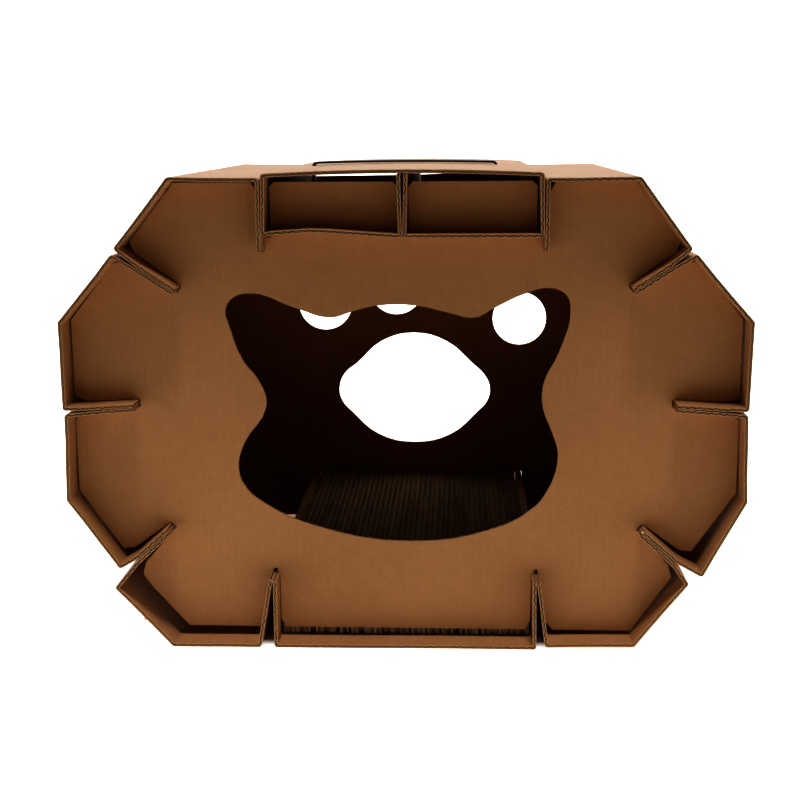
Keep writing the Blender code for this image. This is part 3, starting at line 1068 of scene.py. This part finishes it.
@dataclass
class BoardMaker:
    """Makes a folded board of two liners and a fluted medium."""

    finishes: Finishes
    board: float = 3.0 * MM
    liner: float = 0.72 * MM
    medium: float = 0.58 * MM
    bite: float = 0.03 * MM
    pitch: float = 6.35 * MM
    steps: int = 8
    outer_fold: float = 2.4 * MM
    medium_fold: float = 1.4 * MM
    inner_fold: float = 0.7 * MM

    @property
    def swing(self) -> float:
        """Returns how far the medium swings to each side, so that it bites into the liners."""
        return (self.board - 2 * self.liner - self.medium) / 2 + self.bite

    def upright(self, point: Vector, y: float) -> Vector:
        """Returns a profile's point at this place along Y."""
        return Vector((point.x, y, point.y))

    def lay_uv(self, piece: bpy.types.Object, spots: Sequence[Vector], ways: Sequence[float]) -> None:
        """Maps a ribbon: U is the way along its line, V the place along Y, in metres.

        Args:
            piece: The ribbon.
            spots: Points on its line.
            ways: The way along the line at each spot.
        """
        tree = KDTree(len(spots))
        for index, spot in enumerate(spots):
            tree.insert((spot.x, 0.0, spot.y), index)
        tree.balance()
        layer = piece.data.uv_layers.active or piece.data.uv_layers.new(name="UVMap")
        for loop in piece.data.loops:
            place = piece.data.vertices[loop.vertex_index].co
            _, nearest, _ = tree.find((place.x, 0.0, place.z))
            layer.data[loop.index].uv = (ways[nearest], place.y)

    def layer(
        self, name: str, line: FoldLine, swings: dict[float, float], length: float, thickness: float
    ) -> bpy.types.Object:
        """Models one layer of the board.

        Args:
            name: The layer's name.
            line: The layer's fold line.
            swings: How far the layer swings inward at each way along the line.
            length: The board's length along Y.
            thickness: The layer's own thickness.

        Returns:
            The layer, closed.
        """
        ways = list(swings)
        spots = [line.at(way, swing) for way, swing in swings.items()]
        points = [self.upright(spot, -length / 2) for spot in spots]
        ribbon = Hands.ribbon(name, points, Vector((0.0, length, 0.0)))
        self.lay_uv(ribbon, spots, ways)
        Hands.thicken(ribbon, thickness, rim=1)
        return ribbon

    def layers(self, name: str, outer: Sequence[Vector], length: float) -> list[bpy.types.Object]:
        """Models a board's outer liner, inner liner and medium.

        Args:
            name: The board's name.
            outer: The corners of its outer face.
            length: Its length along Y.

        Returns:
            The three layers.
        """
        made = []
        liners = (
            ("outer", self.liner / 2, self.outer_fold),
            ("inner", self.board - self.liner / 2, self.inner_fold),
        )
        for side, below, fold in liners:
            line = FoldLine(outer, below, fold)
            liner = self.layer(f"{name}_{side}", line, dict.fromkeys(line.stops, 0.0), length, self.liner)
            Hands.coat(liner, self.finishes.liner, self.finishes.cut)
            made.append(liner)
        line = FoldLine(outer, self.board / 2, self.medium_fold)
        count = max(self.steps, round(line.length / self.pitch * self.steps))
        ways = [line.length * step / count for step in range(count + 1)]
        swings = {way: self.swing * math.sin(2 * math.pi * way / self.pitch) for way in ways}
        medium = self.layer(f"{name}_medium", line, swings, length, self.medium)
        Hands.coat(medium, self.finishes.medium, self.finishes.cut)
        made.append(medium)
        return made


@dataclass
class TornPaper:
    """Scraps of paper left standing where the die's nicks tore and where an edge was knocked.

    Each place is where a scrap stands, in mm along X and Z, and how large it is.
    """

    finishes: Finishes
    front: float = -200.0 * MM
    seed: int = 5
    squash: tuple[float, float, float] = (0.85, 0.55, 0.6)
    ragged: float = 0.12
    evenly: float = 0.6
    outward: float = 0.4
    places: dict[str, tuple[tuple[float, float, float], ...]] = field(
        default_factory=lambda: {
            "roof_beam": ((-109.0, 362.0, 2.0), (2.5, 368.5, 2.0), (108.5, 359.0, 2.0)),
            "floor_channel": ((-107.0, 17.0, 2.5), (107.5, 25.0, 2.0), (-107.5, 56.0, 2.5)),
            "floor_corner_left": (
                (-199.5, 90.0, 2.0), (-225.0, 37.5, 3.0), (-214.5, 23.5, 3.5), (-109.5, 57.5, 2.0),
            ),
            "floor_corner_right": ((219.5, 44.5, 3.0), (109.0, 55.0, 2.0)),
            "lower_side_right": ((192.5, 100.0, 2.5),),
        }
    )

    def on(self, name: str) -> list[bpy.types.Object]:
        """Makes the scraps that belong to a piece.

        Args:
            name: The piece's node.

        Returns:
            The scraps.
        """
        made = []
        for number, (x, z, size) in enumerate(self.places.get(name, ())):
            Hands.let_go()
            place = (x * MM, self.front + size * 0.5 * MM, z * MM)
            bpy.ops.mesh.primitive_ico_sphere_add(subdivisions=2, radius=size / 2 * MM, location=place)
            scrap = bpy.context.object
            scrap.name = f"{name}_scrap_{number}"
            scrap.scale = self.squash
            bpy.ops.object.transform_apply(location=False, rotation=False, scale=True)
            bpy.ops.object.mode_set(mode="EDIT")
            bpy.ops.mesh.select_all(action="SELECT")
            bpy.ops.transform.vertex_random(
                offset=size * self.ragged * MM,
                uniform=self.evenly,
                normal=self.outward,
                seed=self.seed + number,
            )
            bpy.ops.object.mode_set(mode="OBJECT")
            scrap.data.materials.append(self.finishes.torn)
            scrap.data.uv_layers.active.name = "UVMap"
            made.append(scrap)
        return made


@dataclass
class WallSections:
    """The nine plain sections of the shell, each one folded board."""

    plan: ShellPlan
    maker: BoardMaker
    scraps: TornPaper
    seed: int = 7
    slack: float = 0.45 * MM
    slack_at: tuple[float, float] = (0.3, 0.65)
    long_stretch: float = 66.0 * MM

    def relaxed(self, name: str, outer: Sequence[Vector]) -> list[Vector]:
        """Returns an outer face whose walls are no longer quite straight.

        Args:
            name: The section's name.
            outer: The corners of its outer face.

        Returns:
            The corners, with a few more points in every long stretch.
        """
        chance = random.Random(f"{self.seed} {name}")
        loose = [outer[0]]
        for before, after in zip(outer, outer[1:]):
            inward = left_of(after - before)
            for share in self.slack_at if (after - before).length > self.long_stretch else ():
                loose.append(before.lerp(after, share) + inward * chance.uniform(0.0, self.slack))
            loose.append(after)
        return loose

    def build(self) -> None:
        """Builds the sections in place of their nodes."""
        for name, outer in self.plan.sections().items():
            layers = self.maker.layers(name, self.relaxed(name, outer), self.plan.depth)
            board = Hands.joined(f"{name}_board", [*layers, *self.scraps.on(name)])
            Hands.smooth(board, BOARD_EDGE)
            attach(board, "house")
            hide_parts(name)
            LOG.info("%s: %d faces", board.name, len(board.data.polygons))


@dataclass
class RoofBeam:
    """The two-celled carry beam, with its buckled left lip and its slots.

    The lip's bulge is given as shares of the way from the divider to the beam's side, each with
    its rise in mm.
    """

    plan: ShellPlan
    maker: BoardMaker
    scraps: TornPaper
    bow_steps: int = 12
    divider_splay: float = 1.1 * MM
    lip_bulge: tuple[tuple[float, float], ...] = (
        (0.14, 0.9), (0.30, 2.2), (0.52, 4.0), (0.66, 4.6), (0.82, 3.4), (0.94, 2.5),
    )
    overcut: float = 6.0 * MM
    handle_gap: float = 0.5 * MM
    boards_below: int = 3
    boards_above: int = 2

    def outline(self) -> list[Vector]:
        """Works out the beam's outer face.

        Returns:
            Its points, from the divider's right leg round to its left leg.
        """
        plan = self.plan
        edge, foot = plan.beam_edge(), plan.beam_foot()
        divider_top = plan.skin_top(plan.board) - plan.board - plan.divider_top_gap
        low_x = plan.touch / 2
        right = [Vector((low_x + self.divider_splay, divider_top)), Vector((low_x, foot.y)), foot, edge]
        bow = []
        for step in range(1, self.bow_steps):
            x = edge.x * (1.0 - 2.0 * step / self.bow_steps)
            bow.append(Vector((x, plan.skin_top(x))))
        left = [Vector((-point.x, point.y)) for point in reversed(right)]
        lip_from, lip_to = left[1], left[2]
        buckled = [
            lip_to.lerp(lip_from, share) + Vector((0.0, rise * MM)) for share, rise in self.lip_bulge
        ]
        return right + bow + left[:2] + buckled[::-1] + left[2:]

    def slots(self) -> list[bpy.types.Object]:
        """Makes what cuts the tabs' and the handle's slots.

        Returns:
            The boxes.
        """
        plan, tools = self.plan, []
        inner, outer = plan.tab_sides()
        lip = plan.beam_foot().y
        half = plan.board / 2 + plan.tab_slot_gap
        for end in End:
            y = plan.panel_middle(end)
            for hand in Hand:
                sides = (hand.value * (inner - plan.tab_slot_gap), hand.value * (outer + plan.tab_slot_gap))
                low = Vector((min(sides), y - half, lip - self.overcut))
                high = Vector((max(sides), y + half, lip + plan.board + self.overcut))
                tools.append(Hands.box(f"{end.name}_{hand.name}_tab", low, high))
        for hand in Hand:
            x = plan.handle_x + hand.value * plan.handle_span / 2
            sides = (x, x - hand.value * plan.handle_thickness)
            wide = plan.handle_width / 2 + self.handle_gap
            skin = plan.skin_top(x)
            below, above = skin - self.boards_below * plan.board, skin + self.boards_above * plan.board
            low = Vector((min(sides) - self.handle_gap, -wide, below))
            high = Vector((max(sides) + self.handle_gap, wide, above))
            tools.append(Hands.box(f"{hand.name}_handle", low, high))
        return tools

    def build(self) -> None:
        """Builds the beam in place of its node."""
        layers = self.maker.layers("roof_beam", self.outline(), self.plan.depth)
        tools = self.slots()
        for layer in layers:
            for tool in tools:
                Hands.cut(layer, tool)
        Hands.discard(*tools)
        beam = Hands.joined("roof_beam_board", [*layers, *self.scraps.on("roof_beam")])
        Hands.smooth(beam, BOARD_EDGE)
        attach(beam, "house")
        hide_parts("roof_beam")
        LOG.info("%s: %d faces", beam.name, len(beam.data.polygons))


@dataclass
class EndPanel:
    """A die-cut end panel with upright flutes that show at every cut edge.

    What is shaved off its rim has four corners each, and what widens it a left, right, bottom and
    top, all in mm.
    """

    plan: ShellPlan
    maker: BoardMaker
    end: End
    shaved: tuple[tuple[tuple[float, float], ...], ...]
    widened: tuple[tuple[float, float, float, float], ...] = ()
    overcut: float = 4.0 * MM
    slot_half: float = 1.6 * MM
    slot_overlap: float = 1.0 * MM
    margin: float = 4.0 * MM

    @property
    def node(self) -> str:
        """Returns the name of the panel's node."""
        return f"{self.end.name.lower()}_panel"

    def blank(self, name: str) -> bpy.types.Object:
        """Makes a closed copy of the frame's panel.

        Args:
            name: The copy's name.

        Returns:
            The copy.
        """
        whole = Hands.copied(bpy.data.objects[self.node], name)
        Hands.take(whole)
        bpy.ops.object.mode_set(mode="EDIT")
        bpy.ops.mesh.select_all(action="SELECT")
        bpy.ops.mesh.remove_doubles(threshold=WELD)
        bpy.ops.object.mode_set(mode="OBJECT")
        return whole

    def facing(self, blank: bpy.types.Object, side: int) -> bpy.types.Object:
        """Returns the liner on one face of the panel.

        Args:
            blank: The closed panel.
            side: -1 for the face towards the door's side, 1 for the other.

        Returns:
            The liner, closed, with its rim cut.
        """
        liner = Hands.copied(blank, f"{self.node}_liner_{'near' if side < 0 else 'far'}")
        Hands.take(liner)
        bpy.ops.object.mode_set(mode="EDIT")
        Hands.pick(liner, "FACE", lambda face: face.normal.y * side < SQUARE_ON)
        bpy.ops.mesh.delete(type="FACE")
        bpy.ops.mesh.select_all(action="SELECT")
        bpy.ops.transform.translate(value=(0.0, -side * self.maker.liner / 2, 0.0))
        bpy.ops.object.mode_set(mode="OBJECT")
        self.lay_flat_uv(liner)
        Hands.thicken(liner, self.maker.liner, rim=1)
        Hands.coat(liner, self.maker.finishes.panel, self.maker.finishes.cut)
        return liner

    def lay_flat_uv(self, piece: bpy.types.Object) -> None:
        """Maps a flat panel: U across its upright flutes, V up.

        Args:
            piece: The panel's layer.
        """
        layer = piece.data.uv_layers.active or piece.data.uv_layers.new(name="UVMap")
        for loop in piece.data.loops:
            place = piece.data.vertices[loop.vertex_index].co
            layer.data[loop.index].uv = (place.x, place.z)

    def fluting(self, blank: bpy.types.Object) -> bpy.types.Object:
        """Models the panel's medium.

        Args:
            blank: The closed panel, whose outline trims the medium.

        Returns:
            The medium.
        """
        maker = self.maker
        low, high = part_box(self.node)
        margin = Vector((self.margin, 0.0, self.margin))
        low, high = low - margin, high + margin
        middle = self.plan.panel_middle(self.end)
        count = round((high.x - low.x) / maker.pitch * maker.steps)
        line = []
        for step in range(count + 1):
            x = low.x + (high.x - low.x) * step / count
            line.append(Vector((x, middle + maker.swing * math.sin(2 * math.pi * x / maker.pitch), low.z)))
        medium = Hands.ribbon(f"{self.node}_medium", line, Vector((0.0, 0.0, high.z - low.z)))
        Hands.thicken(medium, maker.medium)
        Hands.coat(medium, maker.finishes.medium, maker.finishes.cut)
        Hands.cut(medium, blank, "INTERSECT")
        self.lay_flat_uv(medium)
        return medium

    def trims(self) -> list[bpy.types.Object]:
        """Makes what lengthens the floor fins' slots, lowers the tabs and shaves the rim.

        Returns:
            The tools.
        """
        plan, tools = self.plan, []
        y = plan.panel_middle(self.end)
        floor = plan.fins()[0]
        tip = floor.mouth + floor.inward * plan.fin_length
        for hand in Hand if self.end is End.FRONT else ():
            middle = hand.value * tip.x
            low = Vector((middle - self.slot_half, y - plan.board, tip.y - self.slot_overlap))
            high = Vector((middle + self.slot_half, y + plan.board, tip.y + self.overcut))
            tools.append(Hands.box(f"{self.node}_{hand.name}_slot", low, high))
        for number, corners in enumerate(self.shaved):
            sides = (y - plan.board, y + plan.board)
            tools.append(Hands.wedge(f"{self.node}_rim_{number}", corners, sides))
        return tools

    def build(self) -> None:
        """Builds the panel in place of its node."""
        blank = self.blank(f"{self.node}_blank")
        middle, half = self.plan.panel_middle(self.end), self.plan.board / 2
        for left, right, bottom, top in self.widened:
            low = Vector((left * MM, middle - half, bottom * MM))
            strip = Hands.box(f"{self.node}_strip", low, Vector((right * MM, middle + half, top * MM)))
            Hands.cut(blank, strip, "UNION")
            Hands.discard(strip)
        tools = self.trims()
        for tool in tools:
            Hands.cut(blank, tool)
        Hands.discard(*tools)
        layers = [self.facing(blank, -1), self.facing(blank, 1), self.fluting(blank)]
        Hands.discard(blank)
        panel = Hands.joined(f"{self.node}_board", layers)
        Hands.smooth(panel, BOARD_EDGE)
        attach(panel, "house")
        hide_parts(self.node)
        LOG.info("%s: %d faces", panel.name, len(panel.data.polygons))


@dataclass
class ScratchPad:
    """The loose pad: strips of single-faced board set on edge, their flutes open at the top."""

    finishes: Finishes
    strips: int = 41
    paper: float = 0.32 * MM
    pitch: float = 7.4 * MM
    steps: int = 6
    ragged: float = 0.7 * MM
    seat: float = 0.1 * MM
    seed: int = 21

    def strip(self, low: Vector, high: Vector, width: float) -> bpy.types.Object:
        """Returns one strip, longer than the pad by a flute.

        Args:
            low: The pad's lowest corner.
            high: The pad's highest corner.
            width: The strip's width.

        Returns:
            The strip at the pad's left side.
        """
        rise = Vector((0.0, 0.0, high.z - low.z))
        swing = (width - self.paper) / 2 - self.paper / 2
        count = round((high.y - low.y + self.pitch) / self.pitch * self.steps)
        line = []
        for step in range(count + 1):
            y = low.y - self.pitch + self.pitch * step / self.steps
            x = low.x + (width + self.paper) / 2 + swing * math.sin(2 * math.pi * step / self.steps)
            line.append(Vector((x, y, low.z)))
        medium = Hands.ribbon("strip_medium", line, rise)
        Hands.thicken(medium, self.paper)
        ends = [Vector((low.x + self.paper / 2, y, low.z)) for y in (low.y - self.pitch, high.y + self.pitch)]
        liner = Hands.ribbon("strip_liner", ends, rise)
        Hands.thicken(liner, self.paper)
        return Hands.joined("strip", [medium, liner])

    def trim(self, piece: bpy.types.Object, low: Vector, high: Vector) -> None:
        """Cuts a strip to the pad's length and closes the cut ends.

        Args:
            piece: The strip.
            low: The pad's lowest corner.
            high: The pad's highest corner.
        """
        Hands.take(piece)
        bpy.ops.object.mode_set(mode="EDIT")
        for y, way in ((low.y, -1.0), (high.y, 1.0)):
            bpy.ops.mesh.select_all(action="SELECT")
            bpy.ops.mesh.bisect(
                plane_co=(0.0, y, 0.0), plane_no=(0.0, way, 0.0), clear_outer=True, use_fill=True
            )
        bpy.ops.object.mode_set(mode="OBJECT")

    def build(self) -> None:
        """Builds the pad in place of its node, seated on the highest bow of the floor."""
        low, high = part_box("scratch_pad")
        low = low + Vector((0.0, 0.0, self.seat))
        chance = random.Random(self.seed)
        width = (high.x - low.x - self.paper) / self.strips
        master = self.strip(low, high, width)
        strips = []
        for number in range(self.strips):
            copy = Hands.copied(master, f"strip_{number}")
            copy.location = (number * width, chance.random() * self.pitch, 0.0)
            copy.scale.z = 1.0 - chance.random() * self.ragged / (high.z - low.z)
            copy.location.z = low.z * (1.0 - copy.scale.z)
            Hands.take(copy)
            bpy.ops.object.transform_apply(location=True, rotation=True, scale=True)
            self.trim(copy, low, high)
            strips.append(copy)
        Hands.discard(master)
        side = [Vector((high.x - self.paper / 2, y, low.z)) for y in (low.y, high.y)]
        last = Hands.ribbon("strip_last", side, Vector((0.0, 0.0, high.z - low.z)))
        Hands.thicken(last, self.paper)
        pad = Hands.joined("scratch_pad_strips", [*strips, last])
        Hands.coat(pad, self.finishes.pad)
        Hands.smooth(pad, PAD_EDGE)
        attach(pad, "pad")
        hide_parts("scratch_pad")
        LOG.info("%s: %d faces", pad.name, len(pad.data.polygons))


@dataclass
class CarryStrap:
    """The moulded handle: a flat strap over the roof, whose two legs go down through slots in it.

    The legs end plain, where the barbs of the frame's handle begin.
    """

    plan: ShellPlan
    finishes: Finishes
    crest: float = 3.0 * MM
    arch: float = 1.2 * MM
    arch_steps: int = 8
    bend: float = 4.5 * MM
    travel: float = 20.0 * MM
    top_reach: float = 0.4 * MM
    bead: float = 2.2 * MM
    hollow_depth: float = 0.35 * MM
    edge_round: float = 0.45 * MM
    edge_steps: int = 3
    rounded_from: float = 35.0

    def leg_end(self, x: float) -> float:
        """Returns the lower end of the leg that has its outer face here."""
        return self.plan.skin_top(x) - self.plan.board - self.plan.touch - self.travel

    def outline(self) -> list[Vector]:
        """Works out the strap's outer face.

        Returns:
            Its points, up the right leg and down the left.
        """
        middle, half = self.plan.handle_x, self.plan.handle_span / 2
        right, left = middle + half, middle - half
        crest = self.plan.skin_top(0.0) + self.crest
        path = [Vector((right, self.leg_end(right))), Vector((right, crest - self.arch))]
        for step in range(1, self.arch_steps):
            share = 2.0 * step / self.arch_steps - 1.0
            path.append(Vector((middle - share * half, crest - self.arch * share**2)))
        path += [Vector((left, crest - self.arch)), Vector((left, self.leg_end(left)))]
        return path

    def hollow(self, strap: bpy.types.Object) -> None:
        """Sinks a shallow panel between two beads along the top of the strap.

        Args:
            strap: The strap.
        """
        Hands.take(strap)
        bpy.ops.object.mode_set(mode="EDIT")
        level = self.plan.skin_top(0.0) + self.crest - self.arch - self.top_reach
        Hands.pick(
            strap,
            "FACE",
            lambda face: face.normal.z > SQUARE_ON and face.calc_center_median().z > level,
        )
        bpy.ops.mesh.inset(thickness=self.bead, depth=-self.hollow_depth)
        bpy.ops.object.mode_set(mode="OBJECT")

    def build(self) -> None:
        """Builds the strap in place of its node."""
        plan, width = self.plan, self.plan.handle_width
        inset = plan.handle_thickness / 2
        line = FoldLine(self.outline(), inset, self.bend - inset)
        spots = [line.at(way) for way in line.stops]
        points = [Vector((spot.x, -width / 2, spot.y)) for spot in spots]
        strap = Hands.ribbon("carry_strap", points, Vector((0.0, width, 0.0)))
        Hands.take(strap)
        bpy.ops.object.mode_set(mode="EDIT")
        bpy.ops.mesh.select_all(action="SELECT")
        bpy.ops.mesh.normals_make_consistent(inside=False)
        bpy.ops.object.mode_set(mode="OBJECT")
        Hands.thicken(strap, plan.handle_thickness)
        self.hollow(strap)
        Hands.apply(
            strap,
            "BEVEL",
            width=self.edge_round,
            segments=self.edge_steps,
            limit_method="ANGLE",
            angle_limit=math.radians(self.rounded_from),
        )
        strap = Hands.joined("carry_strap", [strap])
        Hands.coat(strap, self.finishes.strap)
        Hands.smooth(strap, STRAP_EDGE)
        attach(strap, "handle")
        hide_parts("carry_handle")
        LOG.info("%s: %d faces", strap.name, len(strap.data.polygons))


@dataclass(frozen=True)
class SoftLight:
    """A square soft light that looks at a point."""

    name: str
    place: tuple[float, float, float]
    aim: tuple[float, float, float]
    size: float
    watts: float

    def hang(self) -> None:
        """Adds the light to the scene."""
        data = bpy.data.lights.new(self.name, "AREA")
        data.shape = "SQUARE"
        data.size = self.size
        data.energy = self.watts
        lamp = bpy.data.objects.new(self.name, data)
        bpy.context.scene.collection.objects.link(lamp)
        lamp.location = self.place
        way = Vector(self.aim) - Vector(self.place)
        lamp.rotation_euler = way.to_track_quat("-Z", "Y").to_euler()


@dataclass
class Studio:
    """A white sweep under soft light."""

    reach: float = 5.0
    near_y: float = -4.0
    wall_y: float = 3.2
    wall_top: float = 4.0
    sweep: float = 1.2
    sweep_steps: int = 12
    air: float = 0.05
    lights: tuple[SoftLight, ...] = (
        SoftLight("overhead", (0.1, 0.35, 2.6), (0.0, 0.1, 0.3), 1.2, 1.5),
        SoftLight("front_top", (0.2, -1.15, 6.0), (0.0, -0.2, 0.0), 1.2, 138.0),
        SoftLight("wall_wash", (0.0, 1.6, 2.6), (0.0, 3.2, 0.9), 2.5, 26.0),
    )

    def floor(self) -> None:
        """Builds the sweep: a floor that curves up into a wall."""
        curve_y = self.wall_y - self.sweep
        line = [Vector((-self.reach, self.near_y, 0.0)), Vector((-self.reach, curve_y, 0.0))]
        for step in range(1, self.sweep_steps + 1):
            turn = math.pi / 2 * step / self.sweep_steps
            y = curve_y + self.sweep * math.sin(turn)
            line.append(Vector((-self.reach, y, self.sweep * (1.0 - math.cos(turn)))))
        line.append(Vector((-self.reach, self.wall_y, self.wall_top)))
        sweep = Hands.ribbon("studio_sweep", line, Vector((2 * self.reach, 0.0, 0.0)))
        sweep.data.materials.append(StudioWhite().material())
        Hands.smooth(sweep, SWEEP_EDGE)

    def build(self) -> None:
        """Builds the sweep, the lights and the surrounding light."""
        self.floor()
        for light in self.lights:
            light.hang()
        world = bpy.data.worlds.new("studio_air")
        world.use_nodes = True
        back = world.node_tree.nodes["Background"]
        back.inputs["Color"].default_value = (1.0, 1.0, 1.0, 1.0)
        back.inputs["Strength"].default_value = self.air
        bpy.context.scene.world = world
        bpy.context.scene.view_settings.view_transform = "Standard"
        bpy.context.scene.view_settings.look = "Very High Contrast"
        LOG.info("studio: sweep, %d lights", len(self.lights))


@dataclass
class PhotographersView:
    """The camera, where the photograph was taken from."""

    place: Vector = field(default_factory=lambda: Vector((0.0444, -1.2928, 0.4214)))
    yaw: float = -0.04283
    pitch: float = 0.19201
    roll: float = -0.00654
    lens: float = 63.0
    sensor: float = 36.0

    def build(self) -> None:
        """Builds the camera and makes it the scene's own."""
        ahead = Vector(
            (
                math.sin(self.yaw) * math.cos(self.pitch),
                math.cos(self.yaw) * math.cos(self.pitch),
                -math.sin(self.pitch),
            )
        )
        level = Vector((math.cos(self.yaw), -math.sin(self.yaw), 0.0))
        above = level.cross(ahead)
        across = level * math.cos(self.roll) + above * math.sin(self.roll)
        up = above * math.cos(self.roll) - level * math.sin(self.roll)
        data = bpy.data.cameras.new("photographer")
        data.lens = self.lens
        data.sensor_width = self.sensor
        data.clip_start = 0.01
        camera = bpy.data.objects.new("photographer", data)
        bpy.context.scene.collection.objects.link(camera)
        turn = Matrix((across, up, -ahead)).transposed()
        camera.matrix_world = Matrix.Translation(self.place) @ turn.to_4x4()
        bpy.context.scene.camera = camera
        LOG.info("camera at %s", tuple(round(part, 3) for part in self.place))


def main() -> None:
    """Loads the frame, dresses it and sets up the picture."""
    logging.basicConfig(level=logging.INFO, format="%(name)s: %(message)s", stream=sys.stdout)
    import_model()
    plan = ShellPlan()
    finishes = Finishes.mixed()
    maker = BoardMaker(finishes)
    scraps = TornPaper(finishes)
    WallSections(plan, maker, scraps).build()
    RoofBeam(plan, maker, scraps).build()
    EndPanel(plan, maker, End.FRONT, (FRONT_TABS, FRONT_FOOT, FRONT_LOWER_LEFT)).build()
    EndPanel(plan, maker, End.REAR, (REAR_LEFT_TAB, REAR_RIGHT_TAB), (REAR_STRIP,)).build()
    CarryStrap(plan, finishes).build()
    ScratchPad(finishes).build()
    Studio().build()
    PhotographersView().build()


if __name__ == "__main__":
    main()
